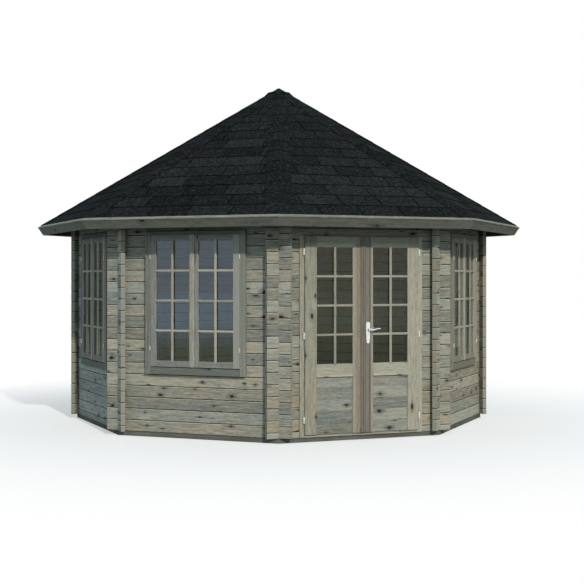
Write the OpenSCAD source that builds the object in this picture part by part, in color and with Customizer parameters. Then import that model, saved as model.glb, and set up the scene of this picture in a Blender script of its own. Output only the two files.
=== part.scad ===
// Garden gazebo: eight walls of interlocking logs under an eight-sided pitched roof.
// Millimetres, +Z up, the door wall faces -Y and the origin is on the ground at the centre.

/* [Walls] */
// Distance across the outer faces of two opposite walls
across = 4200; // [3900:50:4800]
// Thickness of a wall log
log_t = 44; // [38:1:56]
// Height that one log adds to a wall
log_h = 114; // [104:2:124]
// Whole logs in each wall, to which half a log is added
courses = 19; // [18:1:22]
// Length of a log end past the outer corner
log_end = 120; // [90:5:160]
// Bevel along the long edges of a log
log_bevel = 5; // [2:0.5:8]
// Width of the tongue on top of a log
tongue_w = 14; // [10:1:18]
// Height of the tongue on top of a log
tongue_h = 7; // [4:0.5:9]
// Outer height of the bevelled log under the roof
top_log = 88; // [70:2:130]

/* [Base and floor] */
// Height of a base beam
base_h = 45; // [38:1:80]
// Width of a base beam
base_w = 70; // [60:2:110]
// Setback of the base beams behind the wall face
base_inset = 4; // [0:1:12]
// Thickness of the floor boards
floor_t = 19; // [16:1:22]
// Width of a floor joist
joist_w = 38; // [30:1:60]
// Spacing of the floor joists
joist_step = 500; // [350:25:650]

/* [Roof] */
// Slope of a roof face
pitch = 32; // [27:0.5:38]
// Level reach of the roof boards past the wall face
overhang = 387; // [300:5:480]
// Thickness of the roof boards
board_t = 18; // [15:1:24]
// Thickness of the roof covering
cover_t = 6; // [4:0.5:10]
// Thickness of the hip and apex caps
cap_t = 4; // [3:0.5:8]
// Width of a hip cap on each side of the hip
cap_w = 118; // [80:2:160]
// Thickness of a fascia board
fascia_t = 18; // [15:1:24]
// Depth of a fascia board, square to the slope
fascia_h = 96; // [86:1:120]
// Thickness of the eave strip on the fascia
strip_t = 8; // [5:0.5:12]
// Reach of the eave strip past the fascia
strip_out = 4; // [0:1:10]
// Width of a hip rafter
rafter_w = 45; // [36:1:60]
// Depth of a hip rafter between wall and boss
rafter_h = 104; // [96:1:130]
// Depth of a hip rafter outside the wall
tail_h = 66; // [50:1:72]
// Distance across the flats of the boss at the apex
boss_w = 160; // [130:5:220]
// Length of the boss below the roof boards
boss_h = 260; // [200:10:340]

/* [Windows] */
// Outer width of a window casing
win_w = 1076; // [900:10:1160]
// Whole logs below a window
sill_rows = 5; // [4:1:7]
// Whole logs up to the head of windows and door
head_rows = 17; // [16:1:17]
// Height of a window casing's foot above the log joint
win_rise = 7; // [0:1:20]
// Height of a window casing's head above the log joint
win_over = 39; // [24:1:44]
// Width of the side casings
casing_w = 57; // [46:1:70]
// Width of the proud outer band of the side casings
band_w = 26; // [16:1:34]
// Height of the band over the rest of the casing
band_h = 4; // [2:0.5:6]
// Height of the head casing
casing_head = 30; // [27:1:42]
// Height of the sill piece
casing_foot = 75; // [56:1:90]
// Fall of the sill piece towards its front
sill_fall = 9; // [4:1:16]
// Thickness of a casing on the wall
casing_t = 20; // [14:1:28]
// Thickness of a casing inside the room
inner_t = 16; // [12:1:20]
// Lap of a casing over the log ends
casing_lap = 18; // [12:1:24]
// Width of a sash stile
stile_w = 61; // [48:1:72]
// Height of a sash rail
rail_h = 61; // [48:1:72]
// Thickness of a sash
sash_t = 40; // [32:1:46]
// Reach of a sash past the wall face
sash_out = 8; // [4:1:12]
// Bevel on the sash and leaf edges round the glass
glass_bevel = 9; // [4:1:14]
// Setback of a pane behind the face of its sash or leaf
pane_set = 22; // [17:1:25]
// Thickness of a pane
pane_t = 4; // [3:0.5:6]
// Depth of the pane groove
pane_in = 9; // [6:0.5:12]

/* [Door] */
// Outer width of the door frame
door_w = 1322; // [1200:10:1400]
// Depth of the door frame's head below the log joint
door_under = 12; // [4:1:20]
// Visible width of a door jamb
jamb_w = 48; // [44:1:60]
// Height of the door head
head_h = 45; // [40:1:56]
// Thickness of the frame casing on the wall
door_case = 14; // [10:1:20]
// Height of the door sill
sill_h = 20; // [16:1:24]
// Setback of the sill behind the inner wall face
sill_in = 8; // [4:1:14]
// Free gap round the leaves
leaf_gap = 5; // [5:0.5:8]
// Free gap between the two leaves
meet_gap = 8; // [8:0.5:12]
// Thickness of the lip that laps the frame
lip_t = 15; // [12:1:20]
// Lap of the lip over the jambs
lip_lap = 12; // [8:1:16]
// Lap of the lip over the door head
lip_rise = 39; // [20:1:44]
// Thickness of a leaf
leaf_t = 42; // [36:1:50]
// Width of a leaf stile
leaf_stile = 107; // [96:1:126]
// Height of the top rail of a leaf, with its lip
leaf_top = 103; // [84:1:130]
// Height of the middle rail of a leaf
leaf_mid = 126; // [100:1:150]
// Height of the solid panel of a leaf
leaf_panel = 546; // [420:2:640]
// Thickness of the solid panel
panel_t = 18; // [14:1:22]
// Setback of the solid panel behind the leaf face
panel_set = 11; // [8:1:14]
// Width of the cover moulding on each leaf
cover_w = 24; // [16:1:30]
// Thickness of the cover moulding
cover_h = 12; // [8:1:16]

/* [Hardware] */
// Radius of a hinge barrel
barrel_r = 8; // [7:0.5:10]
// Length of one half of a hinge barrel
barrel_h = 31; // [24:1:40]
// Gap between the two halves of a hinge barrel
barrel_gap = 1; // [0.6:0.2:2]
// Gap between a leaf's edge and its hinge barrels
barrel_off = 1; // [0.5:0.5:3]
// Thickness of a hinge plate
flange_t = 8; // [5:0.5:10]
// Setback of a hinge plate at the ends of its barrel
flange_in = 3; // [1:0.5:6]
// Radius of a hinge pin
pin_r = 4; // [3:0.25:5]
// Height of the lowest hinge above a leaf's foot
hinge_foot = 142; // [100:2:240]
// Depth of the highest hinge below a leaf's head
hinge_head = 104; // [80:2:240]
// Height of the lever axis above the ground
lever_z = 1070; // [960:2:1120]
// Distance of the lever axis from the meeting line
lever_x = 52; // [50:1:56]
// Radius of the lever neck
lever_r = 8; // [6:0.5:9]
// Free bore round the lever in the leaf
lever_bore = 12; // [10.5:0.5:14]
// Reach of the lever grips past the plates
lever_out = 36; // [30:1:46]
// Length of the lever grip
lever_len = 118; // [90:2:130]
// Depth of the wave in the lever grip
lever_wave = 6; // [2:0.5:9]
// Radius of the lever grip at its tip
tip_r = 4.5; // [3:0.5:6]
// Width of a handle plate
plate_w = 42; // [36:1:44]
// Width of a handle plate at its foot
plate_foot = 34; // [26:1:36]
// Height of a handle plate
plate_h = 207; // [180:2:240]
// Height of the lever axis above a plate's foot
plate_drop = 137; // [110:1:150]
// Thickness of a handle plate
plate_t = 7; // [5:0.5:9]

/* [Fits] */
// Gap where one piece rests on another
seat = 0.3; // [0.1:0.1:0.5]
// Side clearance of notches and frames
fit = 1.5; // [0.5:0.5:3]
// Radial clearance of a turning pin
run_fit = 0.05; // [0.02:0.01:0.09]

/* [Hidden] */
half = 22.5;
wall_r = across / 2;
side = across * tan(half);
quarter = log_h / 4;
plate_z = base_h + (courses + 0.5) * log_h;
under_z = board_t / cos(pitch);
apex_z = plate_z + top_log + wall_r * tan(pitch) + under_z;
eave_u = (wall_r + overhang) / cos(pitch);
hip = atan(tan(pitch) * cos(half));
far = across;
cut = 1;
floor_gap = 4 * fit;
floor_z = base_h + seat;
win_z0 = base_h + sill_rows * log_h + win_rise;
win_z1 = base_h + head_rows * log_h + win_over;
win_in = win_w / 2 - casing_w;
sash_z0 = win_z0 + casing_foot;
sash_z1 = win_z1 - casing_head;
sash_y = -sash_out;
pane_y = sash_y + pane_set;
door_z1 = base_h + head_rows * log_h - door_under;
door_in = door_w / 2 - jamb_w - lip_lap;
head_z = door_z1 - head_h;
sill_z = base_h + sill_h;
lip_x = door_in + lip_lap;
body_x = door_in - leaf_gap;
lip_y = -door_case - leaf_gap;
face_y = lip_y - lip_t;
back_y = face_y + leaf_t;
leaf_z0 = sill_z + leaf_gap;
leaf_z1 = head_z - leaf_gap;
lip_z1 = head_z + lip_rise;
meet_x = meet_gap / 2;
glass_z0 = leaf_z0 + leaf_panel + leaf_mid;
glass_z1 = lip_z1 - leaf_top;
hinge_x = lip_x + barrel_r + barrel_off;
hinge_y = lip_y - barrel_r;
hinge_low = leaf_z0 + hinge_foot;
hinge_high = leaf_z1 - hinge_head;
hinge_zs = [hinge_low, (hinge_low + hinge_high) / 2, hinge_high];
glass_y = face_y + pane_set;
plate_z0 = lever_z - plate_drop;
window_opening = [win_w / 2 - casing_lap, win_z0 + casing_lap, win_z1 - casing_lap];
door_opening = [door_w / 2 - casing_lap, base_h - cut, door_z1 - casing_lap];
no_opening = [0, 0, 0];

// Turns the front wall's place to the wall at the given angle; y = 0 is the outer wall face.
module at_wall(angle) {
    rotate([0, 0, angle])
        translate([0, -wall_r, 0])
            children();
}

// Eight turned copies about the centre.
module around() {
    for (k = [0:7])
        rotate([0, 0, 45 * k])
            children();
}

// Upright wedge over one wall, held back from both hip planes.
module sector(back) {
    w = far * tan(half) - back / cos(half);
    linear_extrude(height = 2 * apex_z)
        polygon([[0, -back / sin(half)], [-w, -far], [w, -far]]);
}

// Slab in a roof face: down-slope from u0 to u1 and square to the boards' top from n0 to n1.
module slope_slab(u0, u1, n0, n1) {
    translate([0, 0, apex_z])
        rotate([pitch, 0, 0])
            translate([-far, -u1, n0])
                cube([2 * far, u1 - u0, n1 - n0]);
}

// Everything above the underside of the roof boards, over one face.
module over_face() {
    slope_slab(-far, 2 * far, -board_t - seat, 3 * log_h);
}

// Courses of a wall as bottom, top, bottom notch and top notch, counted in logs.
function rows(half_first) =
    half_first
    ? concat([[0, 0.5, 0, 1]], [for (i = [0:courses - 1]) [i + 0.5, i + 1.5, 1, 1]])
    : concat([for (i = [0:courses - 1]) [i, i + 1, 1, 1]], [[courses, courses + 0.5, 1, 0]]);

// Cross-section of a log with bevelled edges, a groove below and a tongue above.
module log_section(h, grooved, tongued) {
    top = h - seat;
    mid = log_t / 2;
    tw = tongue_w / 2;
    gw = tw + cut;
    difference() {
        union() {
            polygon([
                [log_bevel, 0], [log_t - log_bevel, 0], [log_t, log_bevel], [log_t, top - log_bevel],
                [log_t - log_bevel, top], [log_bevel, top], [0, top - log_bevel], [0, log_bevel]
            ]);
            if (tongued)
                polygon([[mid - tw, top - cut], [mid + tw, top - cut], [mid + tw, top],
                    [mid + tw - cut, top + tongue_h], [mid - tw + cut, top + tongue_h], [mid - tw, top]]);
        }
        if (grooved)
            polygon([[mid - gw, -cut], [mid + gw, -cut], [mid + gw, 0],
                [mid + gw - cut, tongue_h + cut], [mid - gw + cut, tongue_h + cut], [mid - gw, 0]]);
    }
}

// Band that the neighbouring wall takes at one corner.
module neighbour_band(end, z0, z1) {
    translate([end * side / 2, 0, z0])
        rotate([0, 0, end * 45])
            translate([-3 * log_t, -fit, 0])
                cube([6 * log_t, log_t + 2 * fit, z1 - z0]);
}

// One log, notched a quarter from below and above where the neighbours' logs cross it.
module wall_log(row, last) {
    z0 = base_h + seat + row[0] * log_h;
    h = (row[1] - row[0]) * log_h;
    difference() {
        translate([0, 0, z0])
            rotate([90, 0, 90])
                linear_extrude(height = side + 2 * log_end, center = true)
                    log_section(h, row[0] > 0, !last);
        for (end = [-1, 1]) {
            if (row[2] == 1)
                neighbour_band(end, z0 - cut, z0 + quarter + seat / 2);
            if (row[3] == 1)
                neighbour_band(end, z0 + h - quarter - seat, z0 + h + tongue_h + cut);
        }
    }
}

// Bevelled log that closes the wall up to the roof boards, between the hip rafters.
module top_infill() {
    intersection() {
        difference() {
            translate([-side, -wall_r, plate_z + seat])
                cube([2 * side, log_t, 2 * log_h]);
            over_face();
        }
        sector(rafter_w / 2 + fit);
    }
}

// Stack of logs with the given opening [half width, bottom, top] cut through.
module log_wall(angle, half_first, opening) {
    list = rows(half_first);
    at_wall(angle)
        for (i = [0:len(list) - 1])
            difference() {
                wall_log(list[i], i == len(list) - 1);
                if (opening[0] > 0)
                    translate([-opening[0], -log_t, opening[1]])
                        cube([2 * opening[0], 3 * log_t, opening[2] - opening[1]]);
            }
    rotate([0, 0, angle])
        top_infill();
}

module front_wall() {
    color([0.62, 0.58, 0.47]) log_wall(0, true, door_opening);
}

module front_right_wall() {
    color([0.62, 0.58, 0.47]) log_wall(45, false, window_opening);
}

module right_wall() {
    color([0.60, 0.57, 0.47]) log_wall(90, true, window_opening);
}

module back_right_wall() {
    color([0.62, 0.58, 0.47]) log_wall(135, false, no_opening);
}

module back_wall() {
    color([0.60, 0.57, 0.47]) log_wall(180, true, no_opening);
}

module back_left_wall() {
    color([0.62, 0.58, 0.47]) log_wall(225, false, no_opening);
}

module left_wall() {
    color([0.60, 0.57, 0.47]) log_wall(270, true, window_opening);
}

module front_left_wall() {
    color([0.62, 0.58, 0.47]) log_wall(315, false, window_opening);
}

module base_beams() {
    color([0.45, 0.44, 0.36])
        around()
            intersection() {
                translate([-side, -wall_r + base_inset, 0])
                    cube([2 * side, base_w, base_h]);
                sector(seat / 2);
            }
}

module floor_joists() {
    reach = wall_r - base_inset - base_w - fit;
    count = floor((reach - joist_w) / joist_step);
    color([0.45, 0.44, 0.36])
        intersection() {
            rotate([0, 0, half])
                cylinder(r = reach / cos(half), h = base_h, $fn = 8);
            for (i = [-count:count])
                translate([-far, i * joist_step - joist_w / 2, 0])
                    cube([2 * far, joist_w, base_h]);
        }
}

module floor_boards() {
    color([0.66, 0.60, 0.47])
        translate([0, 0, floor_z])
            rotate([0, 0, half])
                cylinder(r = (wall_r - log_t - floor_gap) / cos(half), h = floor_t, $fn = 8);
}

// Board across the middle of a wall: half width, bottom, top and the y range.
module slab_x(x, z0, z1, y0, y1) {
    translate([-x, y0, z0])
        cube([2 * x, y1 - y0, z1 - z0]);
}

// Opening from x0 to x1 and z0 to z1 through a face at y, with a bevel round its front edge.
module glass_hole(x0, x1, z0, z1, y, depth) {
    b = glass_bevel;
    translate([x0, y - cut, z0])
        cube([x1 - x0, depth + 2 * cut, z1 - z0]);
    hull() {
        translate([x0 - b, y - cut, z0 - b])
            cube([x1 - x0 + 2 * b, cut, z1 - z0 + 2 * b]);
        translate([x0, y + b, z0])
            cube([x1 - x0, cut, z1 - z0]);
    }
}

// Casing outside and inside, joined by a lining through the wall, with a sloped sill piece.
module window_frame(angle) {
    ox = window_opening[0] - fit;
    at_wall(angle)
        difference() {
            union() {
                slab_x(win_w / 2, win_z0, win_z1, -casing_t, -seat);
                slab_x(ox, window_opening[1] + seat, window_opening[2] - fit, -casing_t / 2, log_t + inner_t / 2);
                slab_x(win_w / 2, win_z0, win_z1, log_t + seat, log_t + inner_t);
            }
            slab_x(win_in, sash_z0, sash_z1, -far, far);
            slab_x(win_w / 2 - band_w, sash_z0 - sill_fall, win_z1 + cut, -far, -casing_t + band_h);
            rotate([90, 0, 90])
                linear_extrude(height = 2 * win_in, center = true)
                    polygon([
                        [-casing_t - cut, sash_z0 - sill_fall], [-casing_t, sash_z0 - sill_fall],
                        [-seat, sash_z0], [-seat, sash_z0 + cut], [-casing_t - cut, sash_z0 + cut]
                    ]);
        }
}

// Two sashes, each with a bevelled opening and a groove for its pane.
module window_sashes(angle) {
    x0 = fit + stile_w;
    x1 = win_in - fit - stile_w;
    z0 = sash_z0 + rail_h;
    z1 = sash_z1 - rail_h;
    at_wall(angle)
        for (m = [0, 1])
            mirror([m, 0, 0])
                difference() {
                    translate([fit, sash_y, sash_z0 + seat])
                        cube([win_in - 2 * fit, sash_t, sash_z1 - sash_z0 - fit]);
                    glass_hole(x0, x1, z0, z1, sash_y, sash_t);
                    translate([x0 - pane_in, pane_y - seat, z0 - pane_in])
                        cube([x1 - x0 + 2 * pane_in, pane_t + 2 * seat, z1 - z0 + 2 * pane_in]);
                }
}

module window_glass(angle) {
    at_wall(angle)
        for (m = [0, 1])
            mirror([m, 0, 0])
                translate([fit + stile_w - pane_in + seat, pane_y, sash_z0 + rail_h - pane_in + seat])
                    cube([win_in - 2 * fit - 2 * (stile_w - pane_in) - 2 * seat, pane_t,
                        sash_z1 - sash_z0 - 2 * (rail_h - pane_in) - 2 * seat]);
}

module front_left_window_frame() {
    color([0.58, 0.55, 0.45]) window_frame(315);
}

module front_left_window_sashes() {
    color([0.62, 0.58, 0.48]) window_sashes(315);
}

module front_left_window_glass() {
    color([0.55, 0.62, 0.66, 0.4]) window_glass(315);
}

module front_right_window_frame() {
    color([0.58, 0.55, 0.45]) window_frame(45);
}

module front_right_window_sashes() {
    color([0.62, 0.58, 0.48]) window_sashes(45);
}

module front_right_window_glass() {
    color([0.55, 0.62, 0.66, 0.4]) window_glass(45);
}

module left_window_frame() {
    color([0.58, 0.55, 0.45]) window_frame(270);
}

module left_window_sashes() {
    color([0.62, 0.58, 0.48]) window_sashes(270);
}

module left_window_glass() {
    color([0.55, 0.62, 0.66, 0.4]) window_glass(270);
}

module right_window_frame() {
    color([0.58, 0.55, 0.45]) window_frame(90);
}

module right_window_sashes() {
    color([0.62, 0.58, 0.48]) window_sashes(90);
}

module right_window_glass() {
    color([0.55, 0.62, 0.66, 0.4]) window_glass(90);
}

// Two jambs that clasp the log ends, with a head and a sill between them.
module door_frame() {
    ox = door_opening[0] - fit;
    wide = door_w / 2 - door_in;
    foot = base_h + seat;
    over_floor = floor_z + floor_t + seat;
    color([0.60, 0.56, 0.46])
        at_wall(0) {
            for (m = [0, 1])
                mirror([m, 0, 0])
                    difference() {
                        union() {
                            translate([door_in, -door_case, foot])
                                cube([wide, door_case - seat, door_z1 - foot]);
                            translate([door_in, -door_case / 2, foot])
                                cube([ox - door_in, log_t + door_case, door_opening[2] - fit - foot]);
                            translate([door_in, log_t + seat, over_floor])
                                cube([wide, inner_t, door_z1 - over_floor]);
                        }
                        translate([0, log_t - floor_gap, foot - cut])
                            cube([door_w, log_t, over_floor - foot + cut]);
                    }
            slab_x(door_in - seat, head_z, door_z1, -door_case, -seat);
            slab_x(door_in - seat, head_z, door_opening[2] - fit, -door_case / 2, log_t + inner_t / 2);
            slab_x(door_in - seat, head_z, door_z1, log_t + seat, log_t + inner_t);
            slab_x(door_in - seat, foot, sill_z, -door_case, log_t - sill_in);
        }
}

// Section of the cover moulding: flat at the meeting edge, then a round and a small step.
module cover_section() {
    r = cover_h * 0.7;
    shoulder = cover_w - r * 1.5;
    polygon(concat(
        [[0, cut], [0, -cover_h]],
        [for (a = [0:15:90]) [shoulder + r * sin(a), -cover_h + r * (1 - cos(a))]],
        [[cover_w, -cover_h + r], [cover_w, cut]]
    ));
}

// One leaf on the right: stiles, two rails, the lip and its half of the cover moulding.
module leaf_frame(bored) {
    in0 = meet_x + leaf_stile;
    in1 = lip_x - leaf_stile;
    difference() {
        union() {
            translate([meet_x, face_y, leaf_z0])
                cube([lip_x - meet_x, lip_t, lip_z1 - leaf_z0]);
            translate([meet_x, face_y + lip_t / 2, leaf_z0])
                cube([body_x - meet_x, leaf_t - lip_t / 2, leaf_z1 - leaf_z0]);
            translate([meet_x, face_y, leaf_z0])
                linear_extrude(height = lip_z1 - leaf_z0)
                    cover_section();
        }
        glass_hole(in0, in1, glass_z0, glass_z1, face_y, leaf_t);
        translate([in0 - pane_in, glass_y - seat, glass_z0 - pane_in])
            cube([in1 - in0 + 2 * pane_in, pane_t + 2 * seat, glass_z1 - glass_z0 + 2 * pane_in]);
        translate([in0, face_y - cut, leaf_z0 - cut])
            cube([in1 - in0, leaf_t + 2 * cut, leaf_panel + cut]);
        translate([in0 - pane_in, face_y + panel_set - seat, leaf_z0 - cut])
            cube([in1 - in0 + 2 * pane_in, panel_t + 2 * seat, leaf_panel + pane_in + cut]);
        if (bored)
            translate([lever_x, face_y - cut, lever_z])
                rotate([-90, 0, 0])
                    cylinder(r = lever_bore, h = leaf_t + 2 * cut, $fn = 48);
    }
}

module leaf_panel_board() {
    in0 = meet_x + leaf_stile - pane_in + seat;
    in1 = lip_x - leaf_stile + pane_in - seat;
    translate([in0, face_y + panel_set, leaf_z0])
        cube([in1 - in0, panel_t, leaf_panel + pane_in - seat]);
}

module leaf_pane() {
    in0 = meet_x + leaf_stile - pane_in + seat;
    in1 = lip_x - leaf_stile + pane_in - seat;
    translate([in0, glass_y, glass_z0 - pane_in + seat])
        cube([in1 - in0, pane_t, glass_z1 - glass_z0 + 2 * pane_in - 2 * seat]);
}

// Upper hinge halves on a right leaf, bored for the pins.
module leaf_hinge_halves() {
    for (z = hinge_zs)
        difference() {
            union() {
                translate([hinge_x, hinge_y, z + barrel_gap / 2])
                    cylinder(r = barrel_r, h = barrel_h, $fn = 48);
                translate([lip_x + seat, hinge_y - flange_t / 2, z + flange_in])
                    cube([barrel_r, flange_t, barrel_h - 2 * flange_in]);
            }
            translate([hinge_x, hinge_y, z])
                cylinder(r = pin_r + run_fit, h = barrel_h - flange_in, $fn = 48);
        }
}

// Lower hinge halves on the frame, with the standing pins.
module frame_hinge_halves() {
    for (z = hinge_zs) {
        translate([hinge_x, hinge_y, z - barrel_gap / 2 - barrel_h])
            cylinder(r = barrel_r, h = barrel_h, $fn = 48);
        translate([hinge_x, hinge_y, z - cut])
            cylinder(r = pin_r, h = barrel_h - flange_in - cut, $fn = 48);
        translate([hinge_x - flange_t / 2, hinge_y, z - barrel_h + flange_in])
            cube([flange_t, -door_case - seat - hinge_y, barrel_h - 2 * flange_in]);
    }
}

module door_hinge_pins() {
    color([0.75, 0.75, 0.74])
        at_wall(0)
            for (m = [0, 1])
                mirror([m, 0, 0])
                    frame_hinge_halves();
}

module left_leaf_frame() {
    color([0.64, 0.58, 0.46]) at_wall(0) mirror([1, 0, 0]) leaf_frame(false);
}

module left_leaf_panel() {
    color([0.60, 0.55, 0.43]) at_wall(0) mirror([1, 0, 0]) leaf_panel_board();
}

module left_leaf_glass() {
    color([0.55, 0.62, 0.66, 0.4]) at_wall(0) mirror([1, 0, 0]) leaf_pane();
}

module left_leaf_hinges() {
    color([0.75, 0.75, 0.74]) at_wall(0) mirror([1, 0, 0]) leaf_hinge_halves();
}

module right_leaf_frame() {
    color([0.64, 0.58, 0.46]) at_wall(0) leaf_frame(true);
}

module right_leaf_panel() {
    color([0.60, 0.55, 0.43]) at_wall(0) leaf_panel_board();
}

module right_leaf_glass() {
    color([0.55, 0.62, 0.66, 0.4]) at_wall(0) leaf_pane();
}

module right_leaf_hinges() {
    color([0.75, 0.75, 0.74]) at_wall(0) leaf_hinge_halves();
}

// Plate that narrows below the lever, with the lever bore, standing on the plane y.
module handle_plate(y) {
    r = plate_w * 0.4;
    foot_r = plate_foot / 2;
    top = plate_z0 + plate_h;
    translate([lever_x, y, 0])
        rotate([90, 0, 0])
            linear_extrude(height = plate_t)
                difference() {
                    union() {
                        polygon([
                            [-foot_r, plate_z0 + foot_r], [foot_r, plate_z0 + foot_r],
                            [plate_w / 2, lever_z - plate_w / 2], [plate_w / 2, top - r],
                            [-plate_w / 2, top - r], [-plate_w / 2, lever_z - plate_w / 2]
                        ]);
                        translate([0, plate_z0 + foot_r])
                            circle(r = foot_r, $fn = 64);
                        translate([r - plate_w / 2, top - plate_w / 2])
                            square([plate_w - 2 * r, plate_w / 2]);
                        for (sx = [-1, 1])
                            translate([sx * (plate_w / 2 - r), top - r])
                                circle(r = r, $fn = 64);
                    }
                    translate([0, lever_z])
                        circle(r = lever_r + run_fit, $fn = 64);
                }
}

module handle_plates() {
    color([0.80, 0.80, 0.80])
        at_wall(0) {
            handle_plate(face_y - seat);
            handle_plate(back_y + seat + plate_t);
        }
}

// Centre line of the lever grip: dips behind the neck and rises towards the tip.
function grip_z(t) = -lever_wave * sin(300 * t);

// Waved lever grip that tapers from the neck to its rounded tip.
module lever_grip(y) {
    steps = 8;
    translate([lever_x, y, lever_z])
        for (i = [0:steps - 1])
            hull()
                for (t = [i / steps, (i + 1) / steps])
                    translate([t * (lever_len - tip_r), 0, grip_z(t)])
                        sphere(r = lever_r + t * (tip_r - lever_r), $fn = 20);
}

// Spindle through both plates with a grip outside and inside.
module door_lever() {
    y0 = face_y - seat - plate_t - lever_out;
    y1 = back_y + seat + plate_t + lever_out;
    color([0.80, 0.80, 0.80])
        at_wall(0) {
            translate([lever_x, y0, lever_z])
                rotate([-90, 0, 0])
                    cylinder(r = lever_r, h = y1 - y0, $fn = 64);
            lever_grip(y0);
            lever_grip(y1);
        }
}

// Hip rafter over one corner: backed on top, seated on the crossed logs, with a slimmer tail.
module hip_rafter() {
    top0 = apex_z - under_z;
    t = tan(hip);
    deep = rafter_h / cos(hip);
    slim = tail_h / cos(hip);
    r0 = boss_w / 2 + seat;
    heel = wall_r / cos(half) + log_end * cos(67.5) + 4 * fit;
    tip = (wall_r + overhang) / cos(half) + fascia_h;
    seat_z = plate_z + seat;
    r_seat = (top0 - deep - seat_z) / t;
    difference() {
        rotate([0, 0, half])
            translate([0, rafter_w / 2, 0])
                rotate([90, 0, 0])
                    linear_extrude(height = rafter_w)
                        polygon([
                            [r0, top0 - r0 * t - deep], [r_seat, seat_z], [heel, seat_z],
                            [heel, top0 - heel * t - slim], [tip, top0 - tip * t - slim],
                            [tip, top0 - tip * t + rafter_w], [r0, top0 - r0 * t + rafter_w]
                        ]);
        for (a = [90, 135])
            rotate([0, 0, a]) {
                over_face();
                slope_slab(eave_u - seat, 2 * far, -3 * log_h, log_h);
            }
    }
}

module hip_rafters() {
    color([0.58, 0.54, 0.43]) around() hip_rafter();
}

module rafter_boss() {
    top = apex_z - under_z;
    color([0.58, 0.54, 0.43])
        difference() {
            translate([0, 0, top - boss_h])
                cylinder(r = boss_w / 2 / cos(half), h = boss_h, $fn = 8);
            around()
                over_face();
        }
}

module roof_boards() {
    color([0.66, 0.60, 0.47])
        around()
            intersection() {
                slope_slab(0, eave_u, -board_t, 0);
                sector(seat);
            }
}

module fascia_boards() {
    color([0.60, 0.57, 0.46])
        around()
            intersection() {
                slope_slab(eave_u + seat, eave_u + fascia_t, -fascia_h, 0);
                sector(seat);
            }
}

module eave_strips() {
    color([0.72, 0.70, 0.60])
        around()
            intersection() {
                slope_slab(eave_u - fascia_t, eave_u + fascia_t + strip_out, seat, strip_t);
                sector(seat);
            }
}

module roof_covering() {
    color([0.18, 0.19, 0.20])
        around()
            intersection() {
                slope_slab(0, eave_u - fascia_t - seat, seat, cover_t);
                sector(seat);
            }
}

// Folded cap over one hip, ending under the apex cap.
module hip_cap() {
    w = cap_w;
    start = cap_w / sin(half) + 4 * fit;
    for (m = [0, 1])
        mirror([m, 0, 0])
            rotate([0, 0, -half])
                intersection() {
                    slope_slab(0, eave_u - fascia_t - seat, cover_t + seat, cover_t + cap_t);
                    linear_extrude(height = 2 * apex_z)
                        polygon([
                            [start * tan(half) - w / cos(half), -start], [start * tan(half), -start],
                            [far * tan(half), -far], [far * tan(half) - w / cos(half), -far]
                        ]);
                }
}

module hip_caps() {
    color([0.16, 0.17, 0.18]) around() rotate([0, 0, half]) hip_cap();
}

// Everything below the eight planes at height n over the boards, out to the given reach.
module under_planes(n, reach) {
    difference() {
        translate([0, 0, apex_z - reach])
            rotate([0, 0, half])
                cylinder(r = reach / cos(half), h = reach + log_h, $fn = 8);
        around()
            slope_slab(-far, 2 * far, n, 4 * log_h);
    }
}

// Small eight-sided cap over the meeting of the hips.
module apex_cap() {
    reach = cap_w / sin(half) + 3 * fit;
    color([0.16, 0.17, 0.18])
        difference() {
            under_planes(cover_t + cap_t, reach);
            under_planes(cover_t + seat, 2 * reach);
        }
}

base_beams();
floor_joists();
floor_boards();
front_wall();
front_right_wall();
right_wall();
back_right_wall();
back_wall();
back_left_wall();
left_wall();
front_left_wall();
front_left_window_frame();
front_left_window_sashes();
front_left_window_glass();
front_right_window_frame();
front_right_window_sashes();
front_right_window_glass();
left_window_frame();
left_window_sashes();
left_window_glass();
right_window_frame();
right_window_sashes();
right_window_glass();
door_frame();
door_hinge_pins();
left_leaf_frame();
left_leaf_panel();
left_leaf_glass();
left_leaf_hinges();
right_leaf_frame();
right_leaf_panel();
right_leaf_glass();
right_leaf_hinges();
handle_plates();
door_lever();
hip_rafters();
rafter_boss();
roof_boards();
fascia_boards();
eave_strips();
roof_covering();
hip_caps();
apex_cap();
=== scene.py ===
"""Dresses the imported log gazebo: weathered logs, joinery, shingles, glass, fittings and a plain stage."""
import math
import random

import bmesh
import bpy
from mathutils import Matrix, Vector


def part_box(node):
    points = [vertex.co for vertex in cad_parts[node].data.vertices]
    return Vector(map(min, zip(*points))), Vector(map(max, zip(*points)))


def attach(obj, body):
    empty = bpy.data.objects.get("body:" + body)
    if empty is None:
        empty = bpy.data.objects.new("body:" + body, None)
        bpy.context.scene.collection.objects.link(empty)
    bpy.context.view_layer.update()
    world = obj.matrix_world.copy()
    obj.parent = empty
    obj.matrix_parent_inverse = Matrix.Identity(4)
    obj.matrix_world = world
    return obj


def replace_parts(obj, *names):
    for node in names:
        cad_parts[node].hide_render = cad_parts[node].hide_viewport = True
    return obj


bl_info = {
    "name": "Log Gazebo",
    "version": (1, 0, 0),
    "blender": (4, 5, 0),
    "location": "View3D > Sidebar > Gazebo",
    "description": "Finishes an eight-sided log gazebo over its CAD frame",
    "category": "Object",
}

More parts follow.
